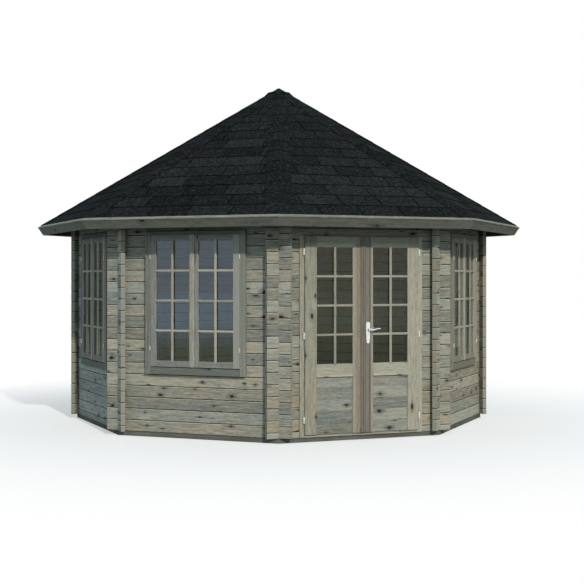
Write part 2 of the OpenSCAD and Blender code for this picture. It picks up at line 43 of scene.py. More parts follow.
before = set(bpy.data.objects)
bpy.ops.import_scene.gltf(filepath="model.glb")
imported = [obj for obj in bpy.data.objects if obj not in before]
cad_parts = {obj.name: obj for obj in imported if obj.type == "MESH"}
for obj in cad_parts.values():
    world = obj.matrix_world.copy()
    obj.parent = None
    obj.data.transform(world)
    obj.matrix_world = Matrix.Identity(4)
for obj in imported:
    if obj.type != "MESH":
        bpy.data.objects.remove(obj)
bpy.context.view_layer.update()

WALLS = {
    "front_wall": 0, "front_right_wall": 45, "right_wall": 90, "back_right_wall": 135,
    "back_wall": 180, "back_left_wall": 225, "left_wall": 270, "front_left_wall": 315,
}
# Some walls take their own copies of the log finish: painted sunlight on the front right wall and painted
# shade on the left wall.
LOG_KINDS = {"front_wall": "door_log", "front_right_wall": "sunny_log", "left_wall": "painted_shade_log"}
WINDOWS = {"front_left": 315, "front_right": 45, "left": 270, "right": 90}
# Half the turn from one wall to the next, and its tangent.
HALF_TURN = math.radians(22.5)
HALF_SECTOR = math.tan(HALF_TURN)
# The walls' outer faces, the top of the base, the apex and the run to the eaves.
WALL_R = -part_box("front_wall")[0].y
BASE_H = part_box("base_beams")[1].z
APEX_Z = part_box("roof_boards")[1].z
EAVE_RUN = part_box("roof_boards")[1].y
# Heights over which a painted shadow of the eaves deepens on the walls.
EAVE_SHADE_HEIGHTS = (1.95, 2.10)
# A pane's reach into its groove, its setback behind the face and its thickness.
PANE_IN = 0.0087
PANE_SET = 0.015
PANE_THICK = 0.004
# Bevel on the stiles and rails round the glass.
BEVEL = 0.004
# Extra width of the door's hinge stiles towards the glass.
STILE_MORE = 0.018
# How far casings and sashes stand out beyond the solids.
CASING_OUT = 0.018
SASH_OUT = 0.028
# What the right sash's meeting stile loses, and its hinge stile gains.
SLIM_STILE = 0.020
BROAD_STILE = 0.010
# Gap round a sash, gap at the wall's faces and the depth of the wall between them.
FIT = 0.0015
SEAT = 0.0003
WALL_BACK = 0.0443
# Thickness of the boards that line a window's sides and foot, and its head.
LINING = 0.018
HEAD_LINING = 0.012
# Small gap at the edge of a board, and along a hip.
BOARD_GAP = 0.0006
HIP_GAP = 0.0004
# How far the upright and the level glazing bars stand out from the sash's face.
UPRIGHT_PROUD = 0.006
LEVEL_PROUD = 0.0055
# Barrel of a window hinge: distance along it and radius.
BARREL = (
    (0, 0.001), (0.002, 0.0045), (0.021, 0.0045), (0.0215, 0.0038), (0.0225, 0.0038), (0.023, 0.0045),
    (0.042, 0.0045), (0.044, 0.001),
)
# Shingle tabs: height off the boards, thickness, lift of the foot, hidden lap and half the gap between two.
TAB_SEAT = 0.0004
TAB_THICK = 0.0042
TAB_LIFT = 0.0046
TAB_LAP = 0.05
TAB_GAP = 0.003
# Hip caps: thickness, extra thickness at the fold and hidden lap.
CAP_THICK = 0.0036
CAP_FOLD = 0.001
CAP_LAP = 0.045
# The photo's camera, in metres and degrees, and the sun.
CAMERA = {"away": 14.114, "height": 1.573, "bearing": -22.5, "lens": 77.26, "shift": (0.0227, -0.0252)}
SUN = {"strength": 2.45, "colour": (1.0, 0.965, 0.89), "spread": 2, "bearing": -2, "height": 30}


def metres(name, description, value):
    """A length that the user can change."""
    return bpy.props.FloatProperty(name=name, description=description, default=value, unit="LENGTH")


class GazeboSizes(bpy.types.PropertyGroup):
    """Sizes of what the finish adds to the frame."""

    log_height: metres("Log Height", "Pitch of the log courses", 0.114)
    bar_width: metres("Upright Bar", "Width of the upright glazing bars", 0.026)
    level_width: metres("Level Bar", "Width of the level glazing bars", 0.0215)
    bar_depth: metres("Bar Depth", "How far a bar reaches back from the sash's face", 0.004)
    bar_lap: metres("Bar Lap", "How far a bar's end laps over the sash", 0.012)
    roof_pitch: bpy.props.FloatProperty(
        name="Roof Pitch", description="Slope of the roof faces", default=math.radians(32), subtype="ANGLE")
    shingle_show: metres("Shingle Exposure", "Length of a shingle that shows", 0.205)
    shingle_width: metres("Shingle Width", "Width of one shingle tab", 0.425)
    cap_width: metres("Hip Cap Width", "Width of a hip cap on each face", 0.118)
    cap_show: metres("Hip Cap Exposure", "Length of a hip cap that shows", 0.235)
    roof_board: metres("Roof Board", "Width of one roof board", 0.096)
    floor_board: metres("Floor Board", "Width of one floor board", 0.12)
    panel_boards: bpy.props.IntProperty(
        name="Panel Boards", description="Boards in each leaf's lower panel", default=5, min=3, max=8)


def colour(name, description, value):
    """A colour that the user can change."""
    return bpy.props.FloatVectorProperty(
        name=name, description=description, default=value, size=3, subtype="COLOR", min=0.0, max=1.0)


class GazeboColours(bpy.types.PropertyGroup):
    """Colours of the finishes."""

    log_light: colour("Log Light", "Early wood of the logs", (0.425, 0.404, 0.328))
    log_dark: colour("Log Dark", "Late wood of the logs", (0.160, 0.151, 0.119))
    weathered: colour("Weathered", "Timber that has gone grey", (0.212, 0.234, 0.224))
    fresh: colour("Indoor Log", "Logs on the room side", (0.600, 0.560, 0.430))
    knot: colour("Knot", "Knots in all timber", (0.022, 0.018, 0.014))
    trim_light: colour("Trim Light", "Early wood of casings and fascia", (0.245, 0.240, 0.200))
    trim_dark: colour("Trim Dark", "Late wood of casings and fascia", (0.140, 0.138, 0.112))
    door_light: colour("Joinery Light", "Early wood of the sashes and door", (0.375, 0.345, 0.265))
    door_dark: colour("Joinery Dark", "Late wood of the sashes and door", (0.215, 0.190, 0.138))
    stile_light: colour("Meeting Stile Light", "Early wood of the meeting stiles", (0.350, 0.290, 0.220))
    stile_dark: colour("Meeting Stile Dark", "Late wood of the meeting stiles", (0.220, 0.172, 0.130))
    cover_light: colour("Cover Light", "Early wood of the cover moulding", (0.225, 0.200, 0.165))
    cover_dark: colour("Cover Dark", "Late wood of the cover moulding", (0.135, 0.118, 0.096))
    pale_light: colour("Inner Timber Light", "Early wood of floor, rafters and roof", (0.43, 0.33, 0.20))
    pale_dark: colour("Inner Timber Dark", "Late wood of floor, rafters and roof", (0.26, 0.175, 0.092))
    shingle: colour("Shingle", "Mineral face of the shingles", (0.0122, 0.0144, 0.0158))
    glass: colour("Glass", "Tint of the panes", (0.93, 0.965, 0.95))
    steel: colour("Steel", "Brushed handles and hinges", (0.86, 0.86, 0.85))
    floor: colour("Floor", "Studio floor", (0.95, 0.95, 0.95))


class Finish:
    """The node tree of one material, or of the world, built up step by step."""

    def __init__(self, name, world=None):
        self.material = world or bpy.data.materials.new(name)
        self.material.use_nodes = True
        self.nodes = self.material.node_tree.nodes
        self.links = self.material.node_tree.links
        self.surface = self.nodes.get("Principled BSDF")

    def feed(self, socket, value):
        """Links an output to the socket, or sets a constant on it."""
        if isinstance(value, bpy.types.NodeSocket):
            self.links.new(value, socket)
        else:
            socket.default_value = value

    def give(self, name, value):
        """Links or sets one of the surface's own sockets."""
        self.feed(self.surface.inputs[name], value)

    def add(self, kind, inputs=None, **settings):
        """Adds a node with its settings and inputs."""
        node = self.nodes.new(kind)
        for key, value in settings.items():
            setattr(node, key, value)
        for key, value in (inputs or {}).items():
            self.feed(node.inputs[key], value)
        return node

    def math(self, operation, *values):
        """One math step."""
        node = self.add("ShaderNodeMath", operation=operation)
        for index, value in enumerate(values):
            self.feed(node.inputs[index], value)
        return node.outputs[0]

    def times(self, value, factor):
        return self.math("MULTIPLY", value, factor)

    def plus(self, value, other):
        return self.math("ADD", value, other)

    def minus(self, value, other):
        return self.math("SUBTRACT", value, other)

    def rest(self, value):
        """What is left of 1."""
        return self.minus(1.0, value)

    def vector(self, x, y, z=0.0):
        return self.add("ShaderNodeCombineXYZ", {0: x, 1: y, 2: z}).outputs[0]

    def split(self, vector):
        return self.add("ShaderNodeSeparateXYZ", {0: vector}).outputs

    def smooth(self, value, low, high):
        """0 at low, 1 at high, smooth between."""
        node = self.add("ShaderNodeMapRange", interpolation_type="SMOOTHSTEP")
        for index, entry in enumerate((value, low, high, 0.0, 1.0)):
            self.feed(node.inputs[index], entry)
        return node.outputs[0]

    def blend(self, factor, first, second, kind="MIX"):
        node = self.add("ShaderNodeMix", data_type="RGBA", blend_type=kind)
        for index, value in ((0, factor), (6, first), (7, second)):
            self.feed(node.inputs[index], value)
        return node.outputs[2]

    def noise(self, vector, scale=1.0, detail=3.0, roughness=0.55):
        return self.add("ShaderNodeTexNoise", {
            "Vector": vector, "Scale": scale, "Detail": detail, "Roughness": roughness}).outputs["Fac"]

    def chance(self, value):
        """A repeatable random number for a whole number."""
        return self.add("ShaderNodeTexWhiteNoise", {"W": value}, noise_dimensions="1D").outputs["Value"]

    def stored(self, name):
        return self.add("ShaderNodeAttribute", attribute_name=name)

    def turned(self, vector, angle):
        """A vector turned about the upright."""
        inputs = {"Vector": vector, "Angle": angle}
        return self.add("ShaderNodeVectorRotate", inputs, rotation_type="Z_AXIS").outputs[0]

    def tinted(self, face, tint):
        """A colour times a tint."""
        return self.blend(1.0, face, tint, "MULTIPLY")

    def own_place(self):
        """Coordinates that stay with the piece when it moves."""
        return self.add("ShaderNodeTexCoord").outputs["Object"]

    def relief(self, height, strength, distance):
        bump = self.add("ShaderNodeBump", {"Height": height, "Strength": strength, "Distance": distance})
        self.give("Normal", bump.outputs[0])


def rgba(values, level=1.0):
    """An opaque colour, lighter or darker by the level."""
    return (values[0] * level, values[1] * level, values[2] * level, 1.0)


def grain(f, along, across, depth, seed, tone, timber):
    """Sawn softwood: growth lines that bend round knots, streaks, weathered patches and a board's tone."""
    def figure(length, width, detail, roughness):
        """Noise drawn out along the board."""
        spot = f.vector(f.times(run, length), f.times(lane, width), f.times(depth, width))
        return f.noise(spot, 1.0, detail, roughness)
    run = f.plus(along, f.times(seed, 23.0))
    lane = f.plus(across, f.times(seed, 3.1))
    blotch = figure(2.1, 9.0, 4.0, 0.6)
    streak = figure(6.6, 48.0, 6.0, 0.68)
    fibre = figure(24.0, 165.0, 3.0, 0.7)
    knot = knots(f, run, lane, streak, timber)
    phase = f.plus(f.plus(f.times(lane, 170.0), f.times(blotch, 30.0)), f.times(knot["halo"], 7.0))
    line = f.math("POWER", f.plus(f.times(f.math("SINE", phase), 0.5), 0.5), 3.0)
    body = f.plus(f.plus(f.times(streak, 0.55), f.times(fibre, 0.6)), f.times(tone, 0.1))
    body = f.minus(body, f.times(line, 0.08))
    early = f.smooth(body, 0.30, 0.78)
    face = f.blend(early, rgba(timber["dark"]), rgba(timber["light"]))
    grey = f.blend(early, rgba(timber["cool"], 0.60), rgba(timber["cool"], 1.42))
    cold = f.smooth(f.plus(blotch, f.times(tone, -0.06)), 0.34, 0.70)
    face = f.blend(f.times(cold, timber["wear"]), face, grey)
    dirt = rgba(timber["cool"], 0.36)
    stain = f.smooth(f.plus(f.times(streak, 0.6), f.times(blotch, 0.45)), 0.615, 0.70)
    face = f.blend(f.times(stain, 0.55 * timber["wear"]), face, dirt)
    face = f.blend(f.times(f.smooth(fibre, 0.66, 0.76), 0.7 * timber["wear"]), face, dirt)
    face = f.blend(f.times(knot["tail"], 0.8), face, dirt)
    face = f.blend(f.times(knot["halo"], 0.45), face, rgba(timber["dark"], 0.55))
    return {
        "colour": f.blend(knot["core"], face, rgba(bpy.context.scene.gazebo_colours.knot)),
        "height": f.plus(f.plus(f.times(fibre, 0.6), f.times(line, -0.35)), f.times(knot["core"], -0.5)),
        "rough": f.plus(f.times(fibre, 0.16), 0.68),
    }


def knots(f, run, lane, streak, timber):
    """Knots of all sizes: a dark ragged core, a brown halo and thin cracks that run along the board."""
    spot = f.vector(f.times(run, 5.2), f.times(lane, 8.4))
    cells = f.add("ShaderNodeTexVoronoi", {"Vector": spot, "Scale": 1.0}, voronoi_dimensions="2D")
    pick, size, crack = f.split(cells.outputs["Color"])
    real = f.math("GREATER_THAN", pick, 1.0 - timber["knots"])
    offset = f.add("ShaderNodeVectorMath", {0: spot, 1: cells.outputs["Position"]}, operation="SUBTRACT")
    side_x, side_y = f.split(offset.outputs[0])[:2]
    bend = f.times(f.plus(streak, -0.5), 0.22)
    ragged = f.plus(cells.outputs["Distance"], bend)
    reach = f.plus(f.times(f.times(size, size), 0.14), 0.05)
    near = f.rest(f.smooth(ragged, f.times(reach, 0.5), reach))
    halo = f.rest(f.smooth(ragged, reach, f.times(reach, 2.6)))
    length = f.plus(f.times(crack, 0.7), 0.12)
    tail_x = f.rest(f.smooth(f.math("ABSOLUTE", side_x), 0.05, length))
    tail_y = f.rest(f.smooth(f.plus(f.math("ABSOLUTE", side_y), bend), 0.01, 0.085))
    return {"core": f.times(real, near), "halo": f.times(real, halo),
            "tail": f.times(real, f.times(tail_x, tail_y))}


def timber(light, dark, cool, wear, knots, level=1.0, tint=(1.0, 1.0, 1.0)):
    """The colours of one timber.

    wear is the share that has gone grey, and knots is the share of places that have a knot.
    """
    def shade(values):
        return [value * level * part for value, part in zip(values, tint)]
    return {"light": shade(light), "dark": shade(dark), "cool": shade(cool), "wear": wear, "knots": knots}


def timbers():
    """Every timber of the building, from the user's colours."""
    c = bpy.context.scene.gazebo_colours
    return {
        "log": timber(c.log_light, c.log_dark, c.weathered, 0.75, 0.46),
        "door_log": timber(c.log_light, c.log_dark, c.weathered, 0.62, 0.46, 0.85, (1.05, 1.02, 0.98)),
        # Painted shade for the wall in shade: bluer, with more grey.
        "painted_shade_log": timber(c.log_light, c.log_dark, c.weathered, 0.85, 0.46, 1.0, (1.15, 1.27, 1.44)),
        "sunny_log": timber(c.log_light, c.log_dark, c.weathered, 0.5, 0.46, 1.0, (1.11, 1.03, 0.95)),
        "base": timber(c.log_dark, [v * 0.6 for v in c.log_dark], c.weathered, 0.5, 0.2, 0.75),
        "trim": timber(c.trim_light, c.trim_dark, c.weathered, 0.45, 0.10, 0.95),
        "fascia": timber(c.trim_light, c.trim_dark, c.trim_dark, 0.5, 0.22, 0.74),
        "strip": timber(c.log_light, c.log_dark, c.weathered, 0.5, 0.05, 0.8),
        "sash": timber(c.door_light, c.door_dark, c.weathered, 0.35, 0.03, 0.84, (0.94, 1.0, 1.16)),
        "sunny_trim": timber(c.trim_light, c.trim_dark, c.weathered, 0.2, 0.10, 1.1, (1.08, 1.02, 0.92)),
        "sunny_sash": timber(c.door_light, c.door_dark, c.weathered, 0.15, 0.03, 0.88),
        "bar": timber(c.door_light, c.door_dark, c.weathered, 0.1, 0.0, 1.18, (0.98, 1.0, 1.09)),
        "door": timber(c.door_light, c.door_dark, c.weathered, 0.3, 0.26, 1.12),
        "stile": timber(c.stile_light, c.stile_dark, c.stile_dark, 0.2, 0.02, 0.88),
        "door_bar": timber(c.door_light, c.door_dark, c.weathered, 0.1, 0.0, 0.95, (0.98, 1.0, 1.05)),
        "cover": timber(c.cover_light, c.cover_dark, c.cover_dark, 0.2, 0.02, 0.95),
        "panel": timber(c.log_light, c.log_dark, c.weathered, 0.85, 0.50, 0.82),
        "inner": timber(c.pale_light, c.pale_dark, c.pale_dark, 0.2, 0.25),
    }


def settle(f, made, strength=0.35, distance=0.0016):
    """Gives the timber's colour, roughness and relief to the surface."""
    f.give("Base Color", made["colour"])
    f.give("Roughness", made["rough"])
    f.give("Specular IOR Level", 0.28)
    f.relief(made["height"], strength, distance)
    return f.material


def log_finish(name, angle, half_first, kind="log"):
    """One wall's logs: each course has its own tone and knots, with rings on the sawn ends."""
    colours = bpy.context.scene.gazebo_colours
    pitch = bpy.context.scene.gazebo_sizes.log_height
    f = Finish(name)
    x, y, z = f.split(f.turned(f.own_place(), -math.radians(angle)))
    level = f.plus(f.times(f.plus(z, -BASE_H), 1.0 / pitch), 0.5 if half_first else 0.0)
    course = f.math("FLOOR", level)
    seed = f.chance(f.plus(course, angle * 1.7 + 0.37))
    tone = f.plus(f.times(f.chance(f.plus(f.times(course, 1.9), angle + 3.3)), 2.0), -1.0)
    made = grain(f, x, z, y, seed, tone, timbers()[kind])
    normal = f.turned(f.add("ShaderNodeNewGeometry").outputs["Normal"], -math.radians(angle))
    normal_x, normal_y = f.split(normal)[:2]
    end = f.smooth(f.math("ABSOLUTE", normal_x), 0.6, 0.8)
    rise = f.minus(f.math("FRACT", level), 0.5)
    heart_y = f.minus(f.plus(y, WALL_R - 0.022), f.times(f.plus(seed, -0.5), 0.05))
    heart_z = f.plus(f.times(rise, pitch), f.times(f.plus(tone, 0.2), 0.03))
    radius = f.math("SQRT", f.plus(f.times(heart_y, heart_y), f.times(heart_z, heart_z)))
    ripple = f.noise(f.vector(f.times(heart_y, 60.0), f.times(heart_z, 60.0), seed), 1.0, 2.0)
    ring = f.plus(f.times(f.math("SINE", f.plus(f.times(radius, 760.0), f.times(ripple, 7.0))), 0.5), 0.5)
    sawn = f.blend(f.times(ring, 0.4), rgba(colours.log_light, 0.68), rgba(colours.log_dark))
    hue = f.chance(f.plus(f.times(course, 3.7), angle + 8.9))
    hue = f.blend(hue, (1.10, 1.01, 0.93, 1), (0.94, 1.0, 1.05, 1))
    face = f.tinted(f.blend(end, made["colour"], sawn), hue)
    within = f.math("LESS_THAN", f.math("ABSOLUTE", x), WALL_R * HALF_SECTOR)
    indoors = f.times(f.smooth(normal_y, 0.5, 0.8), within)
    rub = f.smooth(made["rough"], 0.71, 0.81)
    bright = f.blend(rub, rgba(colours.fresh, 0.72), rgba(colours.fresh, 1.2))
    face = f.blend(f.times(indoors, 0.75), face, bright)
    # Painted shade from the eaves: the outside of the wall darkens towards its top.
    eave_shade = f.times(f.smooth(z, *EAVE_SHADE_HEIGHTS), f.rest(indoors))
    dim = f.plus(f.times(eave_shade, -0.62), 1.0)
    face = f.tinted(face, f.vector(dim, dim, dim))
    # Painted light along the joints between the logs, on a wavy edge with nicks.
    wave = f.plus(f.noise(f.vector(f.times(x, 17.0), f.times(level, 3.0), y), 1.0, 5.0, 0.7), -0.5)
    nick = f.smooth(f.noise(f.vector(f.times(x, 9.0), f.times(course, 7.1)), 1.0, 3.0, 0.7), 0.6, 0.7)
    edge = f.minus(f.plus(rise, f.times(wave, 0.09)), f.times(nick, 0.045))
    # Painted shade along the lower edge of each log, where the groove below it is in shade.
    under = f.smooth(edge, -0.425, -0.47)
    # A painted highlight on the top bevel of each log, dimmed in the eaves' painted shade.
    above = f.times(f.smooth(edge, 0.425, 0.445), f.smooth(edge, 0.475, 0.462))
    above = f.times(above, f.plus(f.times(eave_shade, -0.7), 0.75))
    face = f.blend(above, face, rgba(colours.log_light, 1.4))
    # Painted shade in the groove along the top edge of each log.
    face = f.blend(f.smooth(edge, 0.468, 0.485), face, rgba(colours.log_dark, 0.35))
    made["colour"] = f.blend(under, face, rgba(colours.log_dark, 0.16))
    return settle(f, made)


def board_finish(name, kind, eave_shade=None, paling=None):
    """Boards whose grain direction and tone are stored on their points.

    Above the given height they take a painted shade from the eaves. paling has the distances from the
    middle of the door over which a browner stile goes pale.
    """
    f = Finish(name)
    along, across, depth = f.split(f.stored("grain").outputs["Vector"])
    tone = f.stored("tone").outputs["Fac"]
    seed = f.plus(f.times(tone, 0.37), 0.5)
    made = grain(f, along, across, depth, seed, tone, timbers()[kind])
    # Painted shade from the eaves: darker above the given height.
    if eave_shade:
        height = f.split(f.own_place())[2]
        shadow = f.tinted(made["colour"], (0.66, 0.68, 0.70, 1.0))
        made["colour"] = f.blend(f.smooth(height, eave_shade, eave_shade + 0.05), made["colour"], shadow)
    if paling:
        away = f.math("ABSOLUTE", f.split(f.own_place())[0])
        shade = f.blend(f.smooth(away, *paling), (0.90, 0.89, 0.87, 1.0), (1.11, 1.24, 1.34, 1.0))
        made["colour"] = f.tinted(made["colour"], shade)
    return settle(f, made)


def ring_finish(name, kind, direction):
    """Timber that repeats on the eight faces: its grain runs along the face, out from the middle or up."""
    f = Finish(name)
    place = f.own_place()
    x, y, z = f.split(place)
    bearing = f.math("ARCTAN2", x, f.times(y, -1.0))
    share = f.times(bearing, 4.0 / math.pi)
    if direction == "out":
        share = f.plus(share, -0.5)
    sector = f.math("ROUND", share)
    seed = f.chance(f.plus(sector, 4.7))
    tone = f.plus(f.times(f.chance(f.plus(sector, 11.3)), 1.6), -0.8)
    if direction == "out":
        radius = f.math("SQRT", f.plus(f.times(x, x), f.times(y, y)))
        ways = (radius, f.plus(z, f.times(radius, 0.577)), f.times(share, 0.3))
    elif direction == "up":
        ways = (z, f.plus(x, y), f.minus(x, y))
    else:
        face_x, face_y, face_z = f.split(f.turned(place, f.times(sector, -math.pi / 4)))
        ways = (face_x, f.plus(face_z, f.times(face_y, 0.5)), face_y)
    return settle(f, grain(f, *ways, seed, tone, timbers()[kind]))


def metal_finish(name, value, rough, metallic):
    """Brushed metal with fine scratches and duller patches."""
    f = Finish(name)
    x, y, z = f.split(f.own_place())
    brush = f.noise(f.vector(f.times(x, 900.0), f.times(y, 900.0), f.times(z, 40.0)), 1.0, 3.0, 0.6)
    dull = f.noise(f.own_place(), 45.0, 3.0)
    shade = f.blend(f.smooth(dull, 0.35, 0.75), rgba(value), rgba(value, 0.8))
    f.give("Base Color", shade)
    f.give("Metallic", metallic)
    f.give("Roughness", f.plus(f.times(brush, 0.14), f.plus(f.times(dull, 0.1), rough)))
    f.relief(brush, 0.12, 0.0004)
    return f.material


def glass_finish(name, index):
    """Clear panes with faint streaks from the weather; they let the light into the room."""
    f = Finish(name)
    x, y, z = f.split(f.own_place())
    streak = f.noise(f.vector(f.times(x, 14.0), f.times(y, 14.0), f.times(z, 1.6)), 1.0, 4.0, 0.6)
    tint = bpy.context.scene.gazebo_colours.glass
    f.give("Base Color", f.blend(f.smooth(streak, 0.35, 0.75), rgba(tint), rgba(tint, 0.93)))
    f.give("Roughness", 0.0)
    f.give("Transmission Weight", 1.0)
    f.give("IOR", index)
    path = f.add("ShaderNodeLightPath").outputs
    passed = f.math("MAXIMUM", path["Is Diffuse Ray"], path["Is Shadow Ray"])
    f.give("Alpha", f.rest(passed))
    return f.material


def shingle_finish(name):
    """Mineral shingles: speckled granules and a tone for each tab, with painted shade at the tabs' sides,
    below each butt above and on faces that do not face up.
    """
    base = bpy.context.scene.gazebo_colours.shingle
    f = Finish(name)
    place = f.own_place()
    place_x, place_y, place_z = f.split(place)
    tone = f.stored("tone").outputs["Fac"]
    hue = f.stored("hue").outputs["Fac"]
    speck = f.noise(place, 36.0, 3.0, 0.95)
    grit = f.noise(f.vector(f.plus(place_x, 7.3), place_y, place_z), 40.0, 3.0, 0.9)
    cloud = f.noise(place, 3.2, 4.0, 0.6)
    low, high = rgba(base, 0.6), rgba(base, 1.3)
    weight = f.plus(f.times(tone, 0.32), f.plus(f.times(cloud, 0.6), 0.2))
    shade = f.blend(f.smooth(weight, 0.05, 1.0), low, high)
    red = rgba((base[0] * 1.3, base[1] * 1.0, base[2] * 0.95))
    green = rgba((base[0] * 0.9, base[1] * 1.15, base[2] * 0.95))
    shade = f.blend(f.times(f.smooth(hue, 0.55, 0.95), 0.35), shade, red)
    shade = f.blend(f.times(f.smooth(f.times(hue, -1.0), 0.3, 0.9), 0.35), shade, green)
    shade = f.blend(f.times(f.smooth(speck, 0.51, 0.64), 0.8), shade, rgba(base, 3.6))
    shade = f.blend(f.times(f.smooth(grit, 0.50, 0.40), 0.85), shade, rgba(base, 0.25))
    own = f.plus(f.times(tone, 0.16), 1.08)
    shade = f.tinted(shade, f.vector(own, own, own))
    # Painted shade along each tab's sides and in a band below the butt of the course or cap above.
    left, right, below = f.split(f.stored("grain").outputs["Vector"])
    crumble = f.times(f.plus(speck, -0.5), 0.02)
    side = f.smooth(f.plus(f.math("MINIMUM", left, right), crumble), 0.009, 0.004)
    butt = f.smooth(f.plus(below, crumble), 0.016, 0.007)
    shade = f.blend(f.times(f.math("MAXIMUM", side, butt), 0.66), shade, rgba(base, 0.1))
    # Painted shade on faces that do not face up, such as the butts.
    upward = f.split(f.add("ShaderNodeNewGeometry").outputs["Normal"])[2]
    shade = f.blend(f.smooth(upward, 0.6, 0.3), shade, rgba(base, 0.25))
    f.give("Base Color", shade)
    f.give("Roughness", f.plus(f.times(grit, 0.12), 0.88))
    f.give("Specular IOR Level", 0.03)
    f.relief(f.plus(f.times(speck, 0.6), f.times(grit, 0.6)), 0.6, 0.003)
    return f.material


def surroundings(f, way, level):
    """What panes and metal mirror: sky to the left, pale ground in front, shade to the right and behind."""
    x, y = f.split(way)[:2]
    sky = rgba((0.64, 0.79, 1.0), level)
    front = rgba((0.62, 0.64, 0.52), level)
    shade = rgba((0.10, 0.11, 0.09), level)
    aside = f.plus(f.times(x, math.cos(HALF_TURN)), f.times(y, math.sin(HALF_TURN)))
    tone = f.blend(f.smooth(x, -0.1, -0.7), front, sky)
    return f.blend(f.smooth(f.math("MAXIMUM", aside, y), 0.3, 0.8), tone, shade)


class Boards:
    """Gathers boards into one mesh, with the grain's direction and a tone stored on the points."""

    def __init__(self, seed, place=None):
        self.rng = random.Random(seed)
        self.place = place or Matrix()
        self.points, self.faces, self.grain, self.tone, self.hue = [], [], [], [], []

    def loft(self, rings, along, tone=None, marks=None):
        """One closed board through matching rings of points; along is its grain direction.

        marks, one for each point, are stored in place of the grain's coordinates.
        """
        along = Vector(along).normalized()
        aside = along.orthogonal().normalized()
        for guide in (Vector((0, 0, 1)), Vector((1, 0, 0))):
            if abs(guide.dot(along)) < 0.7:
                aside = (guide - along * guide.dot(along)).normalized()
                break
        third = along.cross(aside)
        tone = self.rng.uniform(-1, 1) if tone is None else tone
        hue = self.rng.uniform(-1, 1)
        first, count = len(self.points), len(rings[0])
        for ring in rings:
            for point in ring:
                point = Vector(point)
                self.points.append(self.place @ point)
                self.grain.append((point.dot(along), point.dot(aside), point.dot(third)))
                self.tone.append(tone)
                self.hue.append(hue)
        if marks:
            self.grain[first:] = marks
        for row in range(len(rings) - 1):
            for i in range(count):
                j = (i + 1) % count
                a, b = first + row * count, first + (row + 1) * count
                self.faces.append((a + i, a + j, b + j, b + i))
        self.faces.append(tuple(first + i for i in reversed(range(count))))
        last = first + (len(rings) - 1) * count
        self.faces.append(tuple(last + i for i in range(count)))

    def box(self, x, y, z, along="x", tone=None):
        """A straight board between the given limits."""
        ring = [(x[0], y[0]), (x[1], y[0]), (x[1], y[1]), (x[0], y[1])]
        way = {"x": (1, 0, 0), "y": (0, 1, 0), "z": (0, 0, 1)}[along]
        self.loft([[(px, py, pz) for px, py in ring] for pz in z], way, tone)

    def object(self, name, material, edge=0.0, segments=2):
        """Makes the piece, with eased edges."""
        mesh = bpy.data.meshes.new(name)
        mesh.from_pydata(self.points, [], self.faces)
        form = bmesh.new()
        form.from_mesh(mesh)
        bmesh.ops.recalc_face_normals(form, faces=form.faces)
        form.to_mesh(mesh)
        form.free()
        store = mesh.attributes.new("grain", "FLOAT_VECTOR", "POINT")
        store.data.foreach_set("vector", [c for g in self.grain for c in g])
        for label, values in (("tone", self.tone), ("hue", self.hue)):
            mesh.attributes.new(label, "FLOAT", "POINT").data.foreach_set("value", values)
        mesh.materials.append(material)
        piece = bpy.data.objects.new(name, mesh)
        bpy.context.scene.collection.objects.link(piece)
        if edge:
            ease = piece.modifiers.new("Eased edges", "BEVEL")
            ease.width = edge
            ease.segments = segments
            ease.limit_method = "ANGLE"
            ease.angle_limit = math.radians(35)
        return piece


def dress(nodes, material):
    """Gives CAD nodes their finish."""
    for node in nodes:
        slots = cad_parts[node].data.materials
        slots.clear()
        slots.append(material)


def clip(polygon, limits):
    """Cuts a flat polygon by half planes a * x + b * y <= c."""
    for a, b, c in limits:
        kept = []
        for i, point in enumerate(polygon):
            before = polygon[i - 1]
            here, there = a * point[0] + b * point[1] - c, a * before[0] + b * before[1] - c
            if (here <= 0) != (there <= 0):
                t = there / (there - here)
                kept.append(tuple(start + t * (end - start) for start, end in zip(before, point)))
            if here <= 0:
                kept.append(point)
        polygon = kept
        if len(polygon) < 3:
            return []
    return polygon


def sector_turn(index):
    """The turn to one of the eight faces."""
    return Matrix.Rotation(math.radians(45 * index), 4, "Z")


def wall_place(angle, mirror=1):
    """From a wall's own place, with y = 0 at its outer face, to the frame."""
    return (Matrix.Rotation(math.radians(angle), 4, "Z") @ Matrix.Translation((0, -WALL_R, 0))
            @ Matrix.Diagonal((mirror, 1, 1, 1)))


def roof_point(x, u, n, pitch):
    """A point on the front roof face: x along the eave, u down the slope, n off the boards."""
    run = u * math.cos(pitch) + n * math.sin(pitch)
    return (x, -run, APEX_Z - u * math.sin(pitch) + n * math.cos(pitch))


def glazing_bar(boards, upright, centre, low, high, face, proud, width, sizes):
    """A thin bar in front of the glass with a chamfered front; its tapered ends lap over the sash."""
    def ring(at, spread, depths):
        profile = [(-0.5, 2), (0.5, 2), (0.5, 1), (0.26, 0), (-0.26, 0), (-0.5, 1)]
        made = []
        for side, depth in profile:
            across = centre + side * width * spread
            made.append((across, depths[depth], at) if upright else (at, depths[depth], across))
        return made
    lap = sizes.bar_lap
    front, middle = face - proud, face - proud * 0.45
    tip = (face - 0.0022, face - 0.0014, face - 0.0002)
    shoulder = (front, middle, face - 0.0002)
    full = (front, middle, face + sizes.bar_depth)
    rings = [
        ring(low - lap, 0.5, tip), ring(low - lap * 0.25, 1.0, shoulder), ring(low, 1.0, full),
        ring(high, 1.0, full), ring(high + lap * 0.25, 1.0, shoulder), ring(high + lap, 0.5, tip),
    ]
    boards.loft(rings, (0, 0, 1) if upright else (1, 0, 0))


